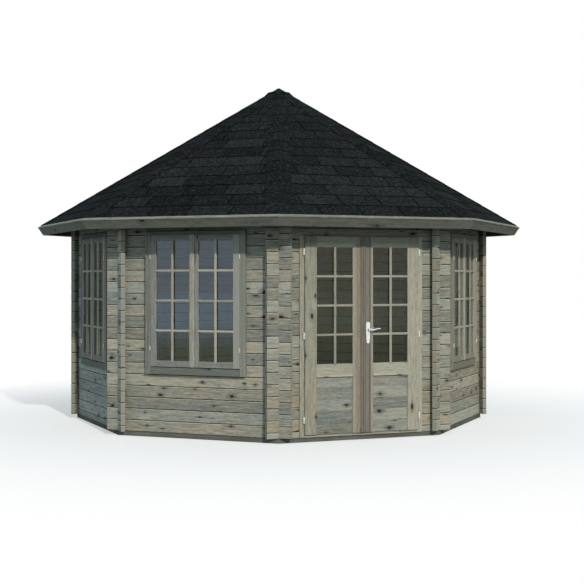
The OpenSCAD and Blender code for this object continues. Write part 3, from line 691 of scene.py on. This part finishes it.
def lattice(boards, low, high, bottom, top, face, sizes):
    """One upright and three level bars over a pane."""
    middle = (low + high) / 2
    glazing_bar(boards, True, middle, bottom, top, face, UPRIGHT_PROUD, sizes.bar_width, sizes)
    for i in (1, 2, 3):
        level = bottom + (top - bottom) * i / 4
        glazing_bar(boards, False, level, low, high, face, LEVEL_PROUD, sizes.level_width, sizes)


def bevelled(boards, way, edge, glass, span, face, back, tone=None):
    """A stile or rail from its plain edge to its edge at the glass, which is bevelled in front."""
    slope = math.copysign(BEVEL, glass - edge)
    section = [(edge, back), (edge, face), (glass - slope, face), (glass, face + BEVEL), (glass, back)]
    rings = []
    for at in span:
        rings.append([(a, y, at) if way == "z" else (at, y, a) for a, y in section])
    boards.loft(rings, (0, 0, 1) if way == "z" else (1, 0, 0), tone)


def pane(boards, low, high, bottom, top, face):
    """One pane in its groove close behind the sash's face."""
    front = face + PANE_SET
    x, z = (low - PANE_IN, high + PANE_IN), (bottom - PANE_IN, top + PANE_IN)
    boards.box(x, (front, front + PANE_THICK), z, "z")


def beads(boards, x, z, rear):
    """Thin glazing beads round the rebate, against the back of the pane."""
    wide, deep = 0.004, 0.010
    y = (rear, rear + deep)
    for low, high in ((x[0], x[0] + wide), (x[1] - wide, x[1])):
        boards.box((low, high), y, z, "z")
    for low, high in ((z[0], z[0] + wide), (z[1] - wide, z[1])):
        boards.box((x[0] + wide, x[1] - wide), y, (low, high), "x")


def turned(boards, centre, axis, profile, sides=14):
    """A round piece from (distance along the axis, radius) pairs."""
    axis = Vector(axis).normalized()
    first = axis.orthogonal().normalized()
    second = axis.cross(first)
    rings = []
    for along, radius in profile:
        ring = []
        for i in range(sides):
            angle = 2 * math.pi * i / sides
            spoke = first * math.cos(angle) + second * math.sin(angle)
            ring.append(Vector(centre) + axis * along + radius * spoke)
        rings.append(ring)
    boards.loft(rings, axis)


class GAZEBO_OT_log_walls(bpy.types.Operator):
    """Finishes the eight log walls"""
    bl_idname = "gazebo.log_walls"
    bl_label = "Log Walls"

    def execute(self, context):
        for node, angle in WALLS.items():
            kind = LOG_KINDS.get(node, "log")
            dress([node], log_finish("logs_" + node, angle, angle % 90 == 0, kind))
        return {"FINISHED"}


class GAZEBO_OT_base(bpy.types.Operator):
    """Finishes the base beams and joists and lays the floor boards"""
    bl_idname = "gazebo.base"
    bl_label = "Base and Floor"

    def execute(self, context):
        sizes = context.scene.gazebo_sizes
        dress(["base_beams", "floor_joists"], ring_finish("base_timber", "base", "face"))
        low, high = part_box("floor_boards")
        reach = high.y
        limits = [(math.cos(a), math.sin(a), reach) for a in (math.radians(45 * i) for i in range(8))]
        boards = Boards(21)
        count = math.ceil(2 * reach / sizes.floor_board)
        for i in range(count):
            y0 = -reach + i * sizes.floor_board + BOARD_GAP
            y1 = min(reach, -reach + (i + 1) * sizes.floor_board - BOARD_GAP)
            outline = clip([(-reach, y0), (reach, y0), (reach, y1), (-reach, y1)], limits)
            if outline:
                boards.loft([[(x, y, z) for x, y in outline] for z in (low.z, high.z)], (1, 0, 0))
        piece = boards.object("floor_boarding", board_finish("floor_timber", "inner"), 0.002)
        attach(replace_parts(piece, "floor_boards"), "house")
        return {"FINISHED"}


class GAZEBO_OT_windows(bpy.types.Operator):
    """Builds the casings, sashes, panes, glazing bars and fittings of the four windows"""
    bl_idname = "gazebo.windows"
    bl_label = "Windows"

    def execute(self, context):
        colours, sizes = context.scene.gazebo_colours, context.scene.gazebo_sizes
        sides = ("", "sunny_")
        # The trims and sashes take the eaves' painted shade above the lower height.
        trim = {side: board_finish(side + "trim_timber", side + "trim", EAVE_SHADE_HEIGHTS[0]) for side in sides}
        joinery = {side: board_finish(side + "sash_timber", side + "sash", EAVE_SHADE_HEIGHTS[0]) for side in sides}
        bar = board_finish("bar_timber", "bar")
        glass = glass_finish("window_glass", 1.9)
        steel = metal_finish("window_steel", colours.steel, 0.24, 0.3)
        outer, sash, glazed = (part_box("left_window_" + part) for part in ("frame", "sashes", "glass"))
        w = {
            "half": outer[1].y, "z0": outer[0].z, "z1": outer[1].z,
            "proud": -outer[0].x - WALL_R + CASING_OUT, "inside": outer[1].x + WALL_R,
            "edge": sash[1].y, "s0": sash[0].z, "s1": sash[1].z,
            "face": sash[0].x + WALL_R - SASH_OUT, "back": sash[1].x + WALL_R - SASH_OUT,
            "g0": glazed[0].z + PANE_IN, "g1": glazed[1].z - PANE_IN,
            "stile": sash[1].y - glazed[1].y + PANE_IN,
        }
        for index, (name, angle) in enumerate(WINDOWS.items()):
            place = wall_place(angle)
            side = "sunny_" if name == "front_right" else ""
            self.casing(name, Boards(40 + index, place), trim[side], w)
            self.sashes(name, Boards(60 + index, place), joinery[side], w)
            self.panes(name, Boards(120 + index, place), glass, w)
            self.bars(name, Boards(80 + index, place), bar, w, sizes)
            self.fittings(name, Boards(100 + index, place), steel, w)
        return {"FINISHED"}

    def lights(self, w):
        """Side, inner and outer edge of the glass in each sash; the right sash has a slim meeting stile."""
        start, reach = FIT + w["stile"], w["edge"] - w["stile"]
        return ((-1, -start, -reach), (1, start - SLIM_STILE, reach - BROAD_STILE))

    def casing(self, name, boards, finish, w):
        """Banded side casings down to the foot, with the head and a sloped sill piece between them."""
        opening, band, step_back = w["edge"] + FIT, 0.026, 0.004
        outside = (step_back - w["proud"], -SEAT)
        lined = (-SEAT, WALL_BACK)
        indoors = (WALL_BACK, w["inside"])
        whole = (w["z0"], w["z1"])
        top, foot = w["s1"] + HEAD_LINING, w["s0"] - LINING
        for side in (-1, 1):
            outer, step, inner = (side * at for at in (w["half"], w["half"] - band, opening))
            tone = 0.8 + side
            boards.box(sorted((outer, step)), (-w["proud"], -SEAT), whole, "z", tone)
            boards.box(sorted((step - side * BOARD_GAP, inner)), outside, whole, "z", tone)
            boards.box(sorted((outer, inner)), indoors, whole, "z")
            boards.box(sorted((inner, inner + side * LINING)), lined, (foot, top), "z")
        gap = opening - 0.0004
        above, below = w["s1"] + FIT, w["s0"] - FIT
        for y, z in ((outside, (above, w["z1"])), (indoors, (above, w["z1"])), (indoors, (w["z0"], below)),
                     (lined, (above, top)), (lined, (foot, below))):
            boards.box((-gap, gap), y, z, "x")
        front, back = w["s0"] - 0.010, w["s0"] - 0.001
        sill = [(-w["proud"], front), (-w["proud"], w["z0"]), (-SEAT, w["z0"]), (-SEAT, back)]
        boards.loft([[(x, y, z) for y, z in sill] for x in (-gap, gap)], (1, 0, 0), -1.8)
        piece = boards.object(name + "_casing", finish, 0.003)
        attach(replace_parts(piece, name + "_window_frame"), "house")

    def sashes(self, name, boards, finish, w):
        """Bevelled stiles and rails, rebated for the panes."""
        rebate = w["face"] + PANE_SET
        behind = (rebate, w["back"])
        for side, a, b in self.lights(w):
            inner, outer = side * FIT, side * w["edge"]
            bevelled(boards, "z", inner, a, (w["s0"], w["s1"]), w["face"], rebate)
            bevelled(boards, "z", outer, b, (w["s0"], w["s1"]), w["face"], rebate, 0.8 + side)
            x = sorted((a - side * BEVEL, b + side * BEVEL))
            bevelled(boards, "x", w["s0"], w["g0"], x, w["face"], rebate, -0.6)
            bevelled(boards, "x", w["s1"], w["g1"], x, w["face"], rebate, -0.6)
            x = sorted((a - side * PANE_IN, b + side * PANE_IN))
            boards.box(sorted((inner, a - side * PANE_IN)), behind, (w["s0"], w["s1"]), "z")
            boards.box(sorted((outer, b + side * PANE_IN)), behind, (w["s0"], w["s1"]), "z")
            boards.box(x, behind, (w["s0"], w["g0"] - PANE_IN), "x")
            boards.box(x, behind, (w["g1"] + PANE_IN, w["s1"]), "x")
            beads(boards, x, (w["g0"] - PANE_IN, w["g1"] + PANE_IN), rebate + PANE_THICK)
        piece = boards.object(name + "_sash_joinery", finish, 0.002)
        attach(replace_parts(piece, name + "_window_sashes"), "house")

    def panes(self, name, boards, finish, w):
        """A pane in each sash."""
        for light in self.lights(w):
            low, high = sorted(light[1:])
            pane(boards, low, high, w["g0"], w["g1"], w["face"])
        piece = boards.object(name + "_panes", finish, 0.0005, 1)
        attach(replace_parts(piece, name + "_window_glass"), "house")

    def bars(self, name, boards, finish, w, sizes):
        """Two by four lights in each sash, and the cover strip on the left meeting stile."""
        for light in self.lights(w):
            low, high = sorted(light[1:])
            lattice(boards, low, high, w["g0"], w["g1"], w["face"], sizes)
        face, left, right, slope, thin, thick = w["face"], -0.056, 0.0, 0.010, 0.003, 0.010
        cover = [(left, face), (left, face - thin), (left + slope, face - thick),
                 (right - slope, face - thick), (right, face - thin), (right, face)]
        ends = (w["s0"] + 0.002, w["s1"] - 0.002)
        boards.loft([[(x, y, z) for x, y in cover] for z in ends], (0, 0, 1))
        piece = boards.object(name + "_glazing_bars", finish)
        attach(piece, "house")

    def fittings(self, name, boards, finish, w):
        """Small barrel hinges on the casing and catches inside on one meeting stile."""
        rise = w["s1"] - w["s0"]
        length, radius = (max(sizes) for sizes in zip(*BARREL))
        for side in (-1, 1):
            for share in (0.137, 0.83):
                z = w["s0"] + rise * share
                foot = (side * (w["edge"] + 0.003), -w["proud"] - radius, z - length / 2)
                turned(boards, foot, (0, 0, 1), BARREL)
        # Each catch has a plate, a round neck and an arm.
        for share in (0.24, 0.765):
            z = w["s0"] + rise * share
            boards.box((-0.05, -0.03), (w["back"], w["back"] + 0.003), (z - 0.018, z + 0.018), "z")
            turned(boards, (-0.036, w["back"], z), (0, 1, 0), [(0, 0.006), (0.012, 0.006), (0.014, 0.004)])
            boards.box((-0.085, -0.03), (w["back"] + 0.004, w["back"] + 0.010), (z - 0.005, z + 0.005), "x")
        piece = boards.object(name + "_fittings", finish, 0.0008, 1)
        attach(piece, "house")


class GAZEBO_OT_door_frame(bpy.types.Operator):
    """Finishes the door frame, with the grain along its posts, head and sill"""
    bl_idname = "gazebo.door_frame"
    bl_label = "Door Frame"

    def execute(self, context):
        f = Finish("door_frame_timber")
        x, y, z = f.split(f.own_place())
        post_start = 0.6
        upright = f.math("GREATER_THAN", f.math("ABSOLUTE", x), post_start)
        flat = f.rest(upright)
        along = f.plus(f.times(z, upright), f.times(x, flat))
        across = f.plus(f.times(x, upright), f.times(z, flat))
        seed = f.chance(f.plus(f.math("SIGN", x), f.times(upright, 5.0)))
        settle(f, grain(f, along, across, y, seed, f.plus(seed, -0.5), timbers()["door"]))
        dress(["door_frame"], f.material)
        return {"FINISHED"}


class GAZEBO_OT_door_leaves(bpy.types.Operator):
    """Builds the stiles, rails, panes, panel boards, bars and cover moulding of both door leaves"""
    bl_idname = "gazebo.door_leaves"
    bl_label = "Door Leaves"

    def execute(self, context):
        sizes = context.scene.gazebo_sizes
        # The door's joinery takes the eaves' painted shade above its panes.
        joinery = board_finish("door_timber", "door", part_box("right_leaf_glass")[1].z)
        stile = board_finish("stile_timber", "stile", None, (0.062, 0.095))
        cover = board_finish("cover_timber", "cover")
        panel = board_finish("panel_timber", "panel")
        glass = glass_finish("door_glass", 1.6)
        bar = board_finish("door_bar_timber", "door_bar")
        d = self.measure()
        for side, name in ((-1, "left"), (1, "right")):
            place = wall_place(0, side)
            self.joinery(name, Boards(140 + side, place), joinery, d)
            self.meeting(name, Boards(160 + side, place), stile, d)
            self.cover(name, Boards(165 + side, place), cover, d)
            self.pane(name, Boards(180 + side, place), glass, d)
            self.bars(name, Boards(170 + side, place), bar, d, sizes)
            self.panel(name, Boards(150 + side, place), panel, sizes)
        return {"FINISHED"}

    def measure(self):
        """Places of the right leaf's parts, from the frame."""
        low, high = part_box("right_leaf_frame")
        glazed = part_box("right_leaf_glass")
        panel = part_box("right_leaf_panel")
        cover = 0.012
        d = {
            "x0": low.x, "x1": high.x, "z0": low.z, "z1": high.z,
            "face": low.y + WALL_R + cover, "back": high.y + WALL_R,
            "a": glazed[0].x + PANE_IN, "b": glazed[1].x - PANE_IN - STILE_MORE,
            "g0": glazed[0].z + PANE_IN, "g1": glazed[1].z - PANE_IN,
            "top": panel[1].z - PANE_IN,
        }
        d["step"], d["lip"], d["rise"] = d["face"] + PANE_SET, 0.017, 0.044
        return d

    def joinery(self, name, boards, finish, d):
        """Hinge stile and rails, rebated for the pane, with a lip that laps the frame."""
        a, b = d["a"], d["b"]
        x = (a - PANE_IN, b + PANE_IN)
        behind = (d["step"], d["back"])
        top = d["z1"] - d["rise"]
        bevelled(boards, "z", d["x1"], b, (d["z0"], d["z1"]), d["face"], d["step"])
        boards.box((x[1], d["x1"] - d["lip"]), behind, (d["z0"], top), "z")
        bevelled(boards, "x", d["z1"], d["g1"], (a - BEVEL, b + BEVEL), d["face"], d["step"])
        boards.box(x, behind, (d["g1"] + PANE_IN, top), "x")
        bevelled(boards, "x", d["top"], d["g0"], (a, b + BEVEL), d["face"], d["step"])
        boards.box(x, behind, (d["top"], d["g0"] - PANE_IN), "x")
        drip = [(d["face"] + 0.001, d["top"]), (d["face"] - 0.009, d["top"] + 0.001),
                (d["face"] - 0.009, d["top"] + 0.006), (d["face"] + 0.001, d["top"] + 0.018)]
        boards.loft([[(at, y, z) for y, z in drip] for at in (a - 0.001, b + 0.001)], (1, 0, 0), 1.2)
        beads(boards, x, (d["g0"] - PANE_IN, d["g1"] + PANE_IN), d["step"] + PANE_THICK)
        piece = boards.object(name + "_leaf_joinery", finish, 0.002)
        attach(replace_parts(piece, name + "_leaf_frame"), name + "_door")

    def meeting(self, name, boards, finish, d):
        """Meeting stile in a browner timber, pale beside the glass."""
        bevelled(boards, "z", d["x0"], d["a"], (d["z0"], d["z1"]), d["face"], d["step"], 0.4)
        behind, height = (d["step"], d["back"]), (d["z0"], d["z1"] - d["rise"])
        boards.box((d["x0"], d["a"] - PANE_IN), behind, height, "z", 0.4)
        piece = boards.object(name + "_leaf_meeting_stile", finish, 0.0015)
        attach(piece, name + "_door")

    def cover(self, name, boards, finish, d):
        """This leaf's half of the cover moulding, with a flat beside it on the right leaf."""
        profile = ((0.0015, 0.0), (0.0015, 0.012), (0.0045, 0.012), (0.0125, 0.0118), (0.018, 0.0098),
                   (0.021, 0.006), (0.0265, 0.0045), (0.028, 0.002), (0.028, 0.0))
        span = (d["z0"] + 0.003, d["z1"] - 0.003)
        boards.loft([[(x, d["face"] - out, z) for x, out in profile] for z in span], (0, 0, 1), -0.2)
        if name == "right":
            # The middle strip is a shallow groove whose dark tone is a painted shadow line at the edge of
            # the flat.
            for low, high, out, tone in ((0.0285, 0.0635, 0.003, 0.5), (0.064, 0.0745, 0.002, -2.0),
                                         (0.075, 0.0845, 0.003, -0.2)):
                boards.box((low, high), (d["face"] - out, d["face"]), span, "z", tone)
        piece = boards.object(name + "_leaf_cover_moulding", finish, 0.001)
        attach(piece, name + "_door")

    def pane(self, name, boards, finish, d):
        """The leaf's pane."""
        pane(boards, d["a"], d["b"], d["g0"], d["g1"], d["face"])
        piece = boards.object(name + "_leaf_pane", finish, 0.0005, 1)
        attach(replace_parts(piece, name + "_leaf_glass"), name + "_door")

    def bars(self, name, boards, finish, d, sizes):
        """Two by four lights over the leaf's pane."""
        lattice(boards, d["a"], d["b"], d["g0"], d["g1"], d["face"], sizes)
        piece = boards.object(name + "_leaf_glazing_bars", finish)
        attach(piece, name + "_door")

    def panel(self, name, boards, finish, sizes):
        """Level boards in the lower half of the leaf."""
        low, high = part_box("right_leaf_panel")
        y = (low.y + WALL_R, high.y + WALL_R)
        count = sizes.panel_boards
        step = (high.z - low.z) / count
        gap = 0.0002
        for i in range(count):
            z = (low.z + i * step + gap, low.z + (i + 1) * step - gap)
            boards.box((low.x, high.x - STILE_MORE), y, z, "x")
        piece = boards.object(name + "_leaf_panel_boards", finish, 0.0015, 1)
        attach(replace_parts(piece, name + "_leaf_panel"), name + "_door")


class GAZEBO_OT_fittings(bpy.types.Operator):
    """Finishes the hinges and the handle"""
    bl_idname = "gazebo.fittings"
    bl_label = "Door Fittings"

    def execute(self, context):
        colours = context.scene.gazebo_colours
        dress(["left_leaf_hinges", "right_leaf_hinges", "door_hinge_pins"],
              metal_finish("hinge_metal", colours.steel, 0.26, 0.3))
        dress(["handle_plates", "door_lever"], metal_finish("handle_metal", colours.steel, 0.2, 0.1))
        return {"FINISHED"}


class GAZEBO_OT_roof_frame(bpy.types.Operator):
    """Finishes the rafters, fascia and eave strips and lays the roof boards"""
    bl_idname = "gazebo.roof_frame"
    bl_label = "Roof Timbers"

    def execute(self, context):
        sizes = context.scene.gazebo_sizes
        dress(["hip_rafters"], ring_finish("rafter_timber", "inner", "out"))
        dress(["rafter_boss"], ring_finish("boss_timber", "inner", "up"))
        dress(["fascia_boards"], ring_finish("fascia_timber", "fascia", "face"))
        dress(["eave_strips"], ring_finish("strip_timber", "strip", "face"))
        pitch = sizes.roof_pitch
        thick, top = 0.018, 0.04
        length = EAVE_RUN / math.cos(pitch)
        finish = board_finish("roof_timber", "inner")
        for face in range(8):
            boards = Boards(200 + face, sector_turn(face))
            u1 = length
            while u1 > 2 * top:
                u0 = max(u1 - sizes.roof_board + BOARD_GAP, top)
                rings = []
                for n in (-thick, 0.0):
                    ring = []
                    for u, side in ((u0, -1), (u1, -1), (u1, 1), (u0, 1)):
                        point = roof_point(0, u, n, pitch)
                        ring.append((side * (-point[1] * HALF_SECTOR - HIP_GAP), point[1], point[2]))
                    rings.append(ring)
                boards.loft(rings, (1, 0, 0))
                u1 -= sizes.roof_board
            piece = boards.object("roof_boarding_%d" % face, finish, 0.003, 1)
            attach(piece, "house")
            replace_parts(piece, "roof_boards")
        return {"FINISHED"}


class GAZEBO_OT_shingles(bpy.types.Operator):
    """Lays the shingle courses, the hip caps and the apex cap"""
    bl_idname = "gazebo.shingles"
    bl_label = "Shingles"

    def execute(self, context):
        sizes = context.scene.gazebo_sizes
        finish = shingle_finish("roof_shingles")
        pitch = sizes.roof_pitch
        for face in range(8):
            piece = self.courses(Boards(300 + face, sector_turn(face)), face, pitch, sizes, finish)
            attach(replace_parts(piece, "roof_covering"), "house")
        for hip in range(8):
            piece = self.hip(Boards(330 + hip, sector_turn(hip)), hip, pitch, sizes, finish)
            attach(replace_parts(piece, "hip_caps"), "house")
        piece = self.apex(Boards(350), pitch, finish)
        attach(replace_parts(piece, "apex_cap"), "house")
        return {"FINISHED"}

    def courses(self, boards, face, pitch, sizes, finish):
        """Overlapping courses of tabs on one roof face, cut along the hips."""
        rng = random.Random(500 + face)
        slope = math.cos(pitch) * HALF_SECTOR
        eave_back, hip_back = 0.0185, 0.006
        eave = EAVE_RUN / math.cos(pitch) - eave_back
        limits = [(1, -slope, -hip_back), (-1, -slope, -hip_back)]
        # A thin sheet under the tabs shows in the gaps between them; its marks of zero put all of it in the
        # painted edge shade, so the gaps show as shade.
        top, foot = 0.03, eave - 0.004
        sheet = clip([(-eave, top), (eave, top), (eave, foot), (-eave, foot)], limits)
        rings = [[roof_point(px, pu, n, pitch) for px, pu in sheet] for n in (0.0001, 0.0003)]
        boards.loft(rings, (1, 0, 0), -1.0, [(0, 0, 0)] * 2 * len(sheet))
        low_edge, course = eave, 0
        while low_edge > 0.12:
            high_edge = max(low_edge - sizes.shingle_show - TAB_LAP, top)
            reach = low_edge * slope
            x = -reach - sizes.shingle_width * ((course * 0.37 + face * 0.21) % 1.0)
            while x < reach:
                width = sizes.shingle_width * rng.uniform(0.94, 1.06)
                drop = rng.uniform(-0.0025, 0.0025) if course else 0.0
                skew = rng.uniform(-0.001, 0.001) * (course > 0)
                left, right = x + TAB_GAP, x + width - TAB_GAP
                tab = clip([(left, high_edge), (right, high_edge), (right, low_edge + drop + skew),
                            (left, low_edge + drop)], limits)
                if tab:
                    rings = []
                    marks = []
                    for thick in (0.0, TAB_THICK):
                        ring = []
                        for px, pu in tab:
                            share = (pu - high_edge) / (low_edge - high_edge)
                            off = TAB_SEAT + thick + TAB_LIFT * share
                            ring.append(roof_point(px, pu, off, pitch))
                            # Distances to the tab's sides and to the butt above, which place the painted
                            # shade.
                            marks.append((px - x, x + width - px, pu - low_edge + sizes.shingle_show))
                        rings.append(ring)
                    boards.loft(rings, (1, 0, 0), None, marks)
                x += width
            low_edge -= sizes.shingle_show
            course += 1
        return boards.object("shingle_face_%d" % face, finish)

    def hip(self, boards, index, pitch, sizes, finish):
        """Folded cap pieces that overlap down one hip, to the right of the front face."""
        fall = math.atan(math.tan(pitch) * math.cos(HALF_TURN))
        run = math.cos(fall)
        down = Vector((math.sin(HALF_TURN) * run, -math.cos(HALF_TURN) * run, -math.sin(fall)))

        def on_face(side, away, along, n):
            """A point on the face at one side of the hip."""
            turn = Matrix.Rotation(0.0 if side < 0 else 2 * HALF_TURN, 3, "Z")
            normal = turn @ Vector((0, -math.sin(pitch), math.cos(pitch)))
            aside = normal.cross(down).normalized()
            if aside.dot(turn @ Vector((side, 0, 0))) < 0:
                aside = -aside
            return Vector((0, 0, APEX_Z)) + down * along + aside * away + normal * n
        eave_back, peak = 0.016, 0.06
        length = (EAVE_RUN - eave_back) / math.cos(HALF_TURN) / run
        rng = random.Random(700 + index)
        spread = [(-1, 1.0), (-1, 0.62), (-1, 0.28), (-1, 0.08), (1, 0.08), (1, 0.28), (1, 0.62), (1, 1.0)]
        low = length
        while low > 0.2:
            high = max(low - sizes.cap_show - CAP_LAP, peak)
            width = sizes.cap_width * rng.uniform(0.97, 1.03)
            # The lowest cap is cut along the eaves, the others square to the hip.
            cut = math.cos(pitch) * HALF_SECTOR if low == length else 0.0
            rings = []
            marks = []
            places = (high, (high + low) / 2, low - 0.012, low)
            for along, rise in zip(places, (0.0078, 0.0092, 0.0106, 0.0100)):
                top, under = [], []
                for side, share in spread:
                    away = share * width
                    at = along - away * cut
                    top.append(on_face(side, away, at, rise + CAP_THICK + CAP_FOLD * (1 - share)))
                    under.insert(0, on_face(side, away, at, rise))
                rings.append(top + under)
                # No painted shade at a cap's sides; the last mark places the painted shade below the butt
                # of the cap above.
                marks += [(1.0, 1.0, along - low + sizes.cap_show)] * len(rings[-1])
            boards.loft(rings, (0, 0, 1), rng.uniform(-1.0, 0.3), marks)
            low -= sizes.cap_show * rng.uniform(0.98, 1.02)
        return boards.object("hip_cap_%d" % index, finish)

    def apex(self, boards, pitch, finish):
        """A folded pointed cap over the ends of the hip caps."""
        def ring(u, n):
            made = []
            for i in range(8):
                spot = Vector(roof_point(u * math.cos(pitch) * HALF_SECTOR, u, n, pitch))
                made.append(sector_turn(i) @ spot)
            return made
        rings = [ring(0.19, 0.0095), ring(0.19, 0.0135), ring(0.10, 0.0145), ring(0.004, 0.0145)]
        boards.loft(rings, (0, 0, 1), 0.1, [(1.0, 1.0, 1.0)] * 32)
        return boards.object("apex_fold", finish)


class GAZEBO_OT_stage(bpy.types.Operator):
    """Sets up the floor, light and camera"""
    bl_idname = "gazebo.stage"
    bl_label = "Stage"

    def execute(self, context):
        scene = context.scene
        scene.view_settings.view_transform = "Standard"
        self.floor()
        self.light(scene)
        data = bpy.data.cameras.new("photo_camera")
        data.sensor_width = 36.0
        data.lens = CAMERA["lens"]
        data.shift_x, data.shift_y = CAMERA["shift"]
        camera = bpy.data.objects.new("photo_camera", data)
        away, bearing = CAMERA["away"], math.radians(CAMERA["bearing"])
        camera.location = (away * math.sin(bearing), -away * math.cos(bearing), CAMERA["height"])
        camera.rotation_euler = (math.radians(90), 0, bearing)
        scene.collection.objects.link(camera)
        scene.camera = camera
        return {"FINISHED"}

    def floor(self):
        """A wide pale floor that keeps the shadow and fades to white."""
        mesh = bpy.data.meshes.new("studio_floor")
        form = bmesh.new()
        bmesh.ops.create_circle(form, cap_ends=True, segments=96, radius=120.0)
        form.to_mesh(mesh)
        form.free()
        f = Finish("studio_floor")
        x, y = f.split(f.own_place())[:2]
        away = f.math("SQRT", f.plus(f.times(x, x), f.times(y, y)))
        tint = bpy.context.scene.gazebo_colours.floor
        path = f.add("ShaderNodeLightPath").outputs
        way = f.add("ShaderNodeVectorMath", {0: f.own_place()}, operation="NORMALIZE").outputs[0]
        # What panes and metal mirror of the floor, a painted reflection: darker ground nearby, the
        # surroundings further off.
        mirrored_ground = f.blend(f.smooth(away, 14.0, 34.0), (0.24, 0.26, 0.19, 1.0), surroundings(f, way, 0.76))
        bounce = f.blend(path["Is Glossy Ray"], (0.38, 0.44, 0.44, 1.0), mirrored_ground)
        f.give("Base Color", f.blend(path["Is Camera Ray"], bounce, rgba(tint)))
        f.give("Roughness", 0.9)
        f.give("Specular IOR Level", 0.0)
        glow = f.add("ShaderNodeEmission", {"Color": (1, 1, 1, 1), "Strength": 1.0})
        fade = f.plus(f.times(f.smooth(away, 2.7, 6.5), 0.6), 0.4)
        mix = f.add("ShaderNodeMixShader", {0: f.times(path["Is Camera Ray"], fade)})
        f.links.new(f.surface.outputs[0], mix.inputs[1])
        f.links.new(glow.outputs[0], mix.inputs[2])
        f.links.new(mix.outputs[0], f.nodes["Material Output"].inputs["Surface"])
        mesh.materials.append(f.material)
        floor = bpy.data.objects.new("studio_floor", mesh)
        floor.location.z = -0.002
        bpy.context.scene.collection.objects.link(floor)

    def light(self, scene):
        """A soft sky that the camera sees as white, and a sun."""
        scene.world = bpy.data.worlds.new("studio")
        f = Finish("studio", scene.world)
        fill = f.nodes["Background"]
        fill.inputs["Color"].default_value = (0.78, 0.92, 1.0, 1)
        fill.inputs["Strength"].default_value = 0.60
        path = f.add("ShaderNodeLightPath").outputs
        way = f.add("ShaderNodeTexCoord").outputs["Generated"]
        tones = (("Is Glossy Ray", surroundings(f, way, 1.0)),
                 ("Is Transmission Ray", (0.06, 0.07, 0.075, 1)), ("Is Camera Ray", (1, 1, 1, 1)))
        shader = fill.outputs[0]
        for ray, tone in tones:
            seen = f.add("ShaderNodeBackground", {"Color": tone})
            shader = f.add("ShaderNodeMixShader", {0: path[ray], 1: shader, 2: seen.outputs[0]}).outputs[0]
        f.links.new(shader, f.nodes["World Output"].inputs["Surface"])
        lamp = bpy.data.lights.new("key", "SUN")
        lamp.energy = SUN["strength"]
        lamp.color = SUN["colour"]
        lamp.angle = math.radians(SUN["spread"])
        key = bpy.data.objects.new("key", lamp)
        bearing, height = math.radians(SUN["bearing"]), math.radians(SUN["height"])
        flat = math.cos(height)
        source = Vector((math.sin(bearing) * flat, -math.cos(bearing) * flat, math.sin(height)))
        key.rotation_euler = source.to_track_quat("Z", "Y").to_euler()
        scene.collection.objects.link(key)


OPERATORS = (
    GAZEBO_OT_log_walls, GAZEBO_OT_base, GAZEBO_OT_windows, GAZEBO_OT_door_frame, GAZEBO_OT_door_leaves,
    GAZEBO_OT_fittings, GAZEBO_OT_roof_frame, GAZEBO_OT_shingles, GAZEBO_OT_stage,
)


class GAZEBO_PT_panel(bpy.types.Panel):
    """Lists the sizes, the colours and the steps"""
    bl_idname = "GAZEBO_PT_panel"
    bl_label = "Gazebo"
    bl_space_type = "VIEW_3D"
    bl_region_type = "UI"
    bl_category = "Gazebo"

    def draw(self, context):
        layout = self.layout
        for group in (context.scene.gazebo_sizes, context.scene.gazebo_colours):
            column = layout.column()
            for key in group.__annotations__:
                column.prop(group, key)
        for operator in OPERATORS:
            layout.operator(operator.bl_idname)


CLASSES = (GazeboSizes, GazeboColours) + OPERATORS + (GAZEBO_PT_panel,)


def register():
    for entry in CLASSES:
        bpy.utils.register_class(entry)
    bpy.types.Scene.gazebo_sizes = bpy.props.PointerProperty(type=GazeboSizes)
    bpy.types.Scene.gazebo_colours = bpy.props.PointerProperty(type=GazeboColours)


def unregister():
    del bpy.types.Scene.gazebo_colours
    del bpy.types.Scene.gazebo_sizes
    for entry in reversed(CLASSES):
        bpy.utils.unregister_class(entry)


def main():
    """Builds everything."""
    register()
    for operator in OPERATORS:
        area, name = operator.bl_idname.split(".")
        getattr(getattr(bpy.ops, area), name)()


if __name__ == "__main__":
    main()
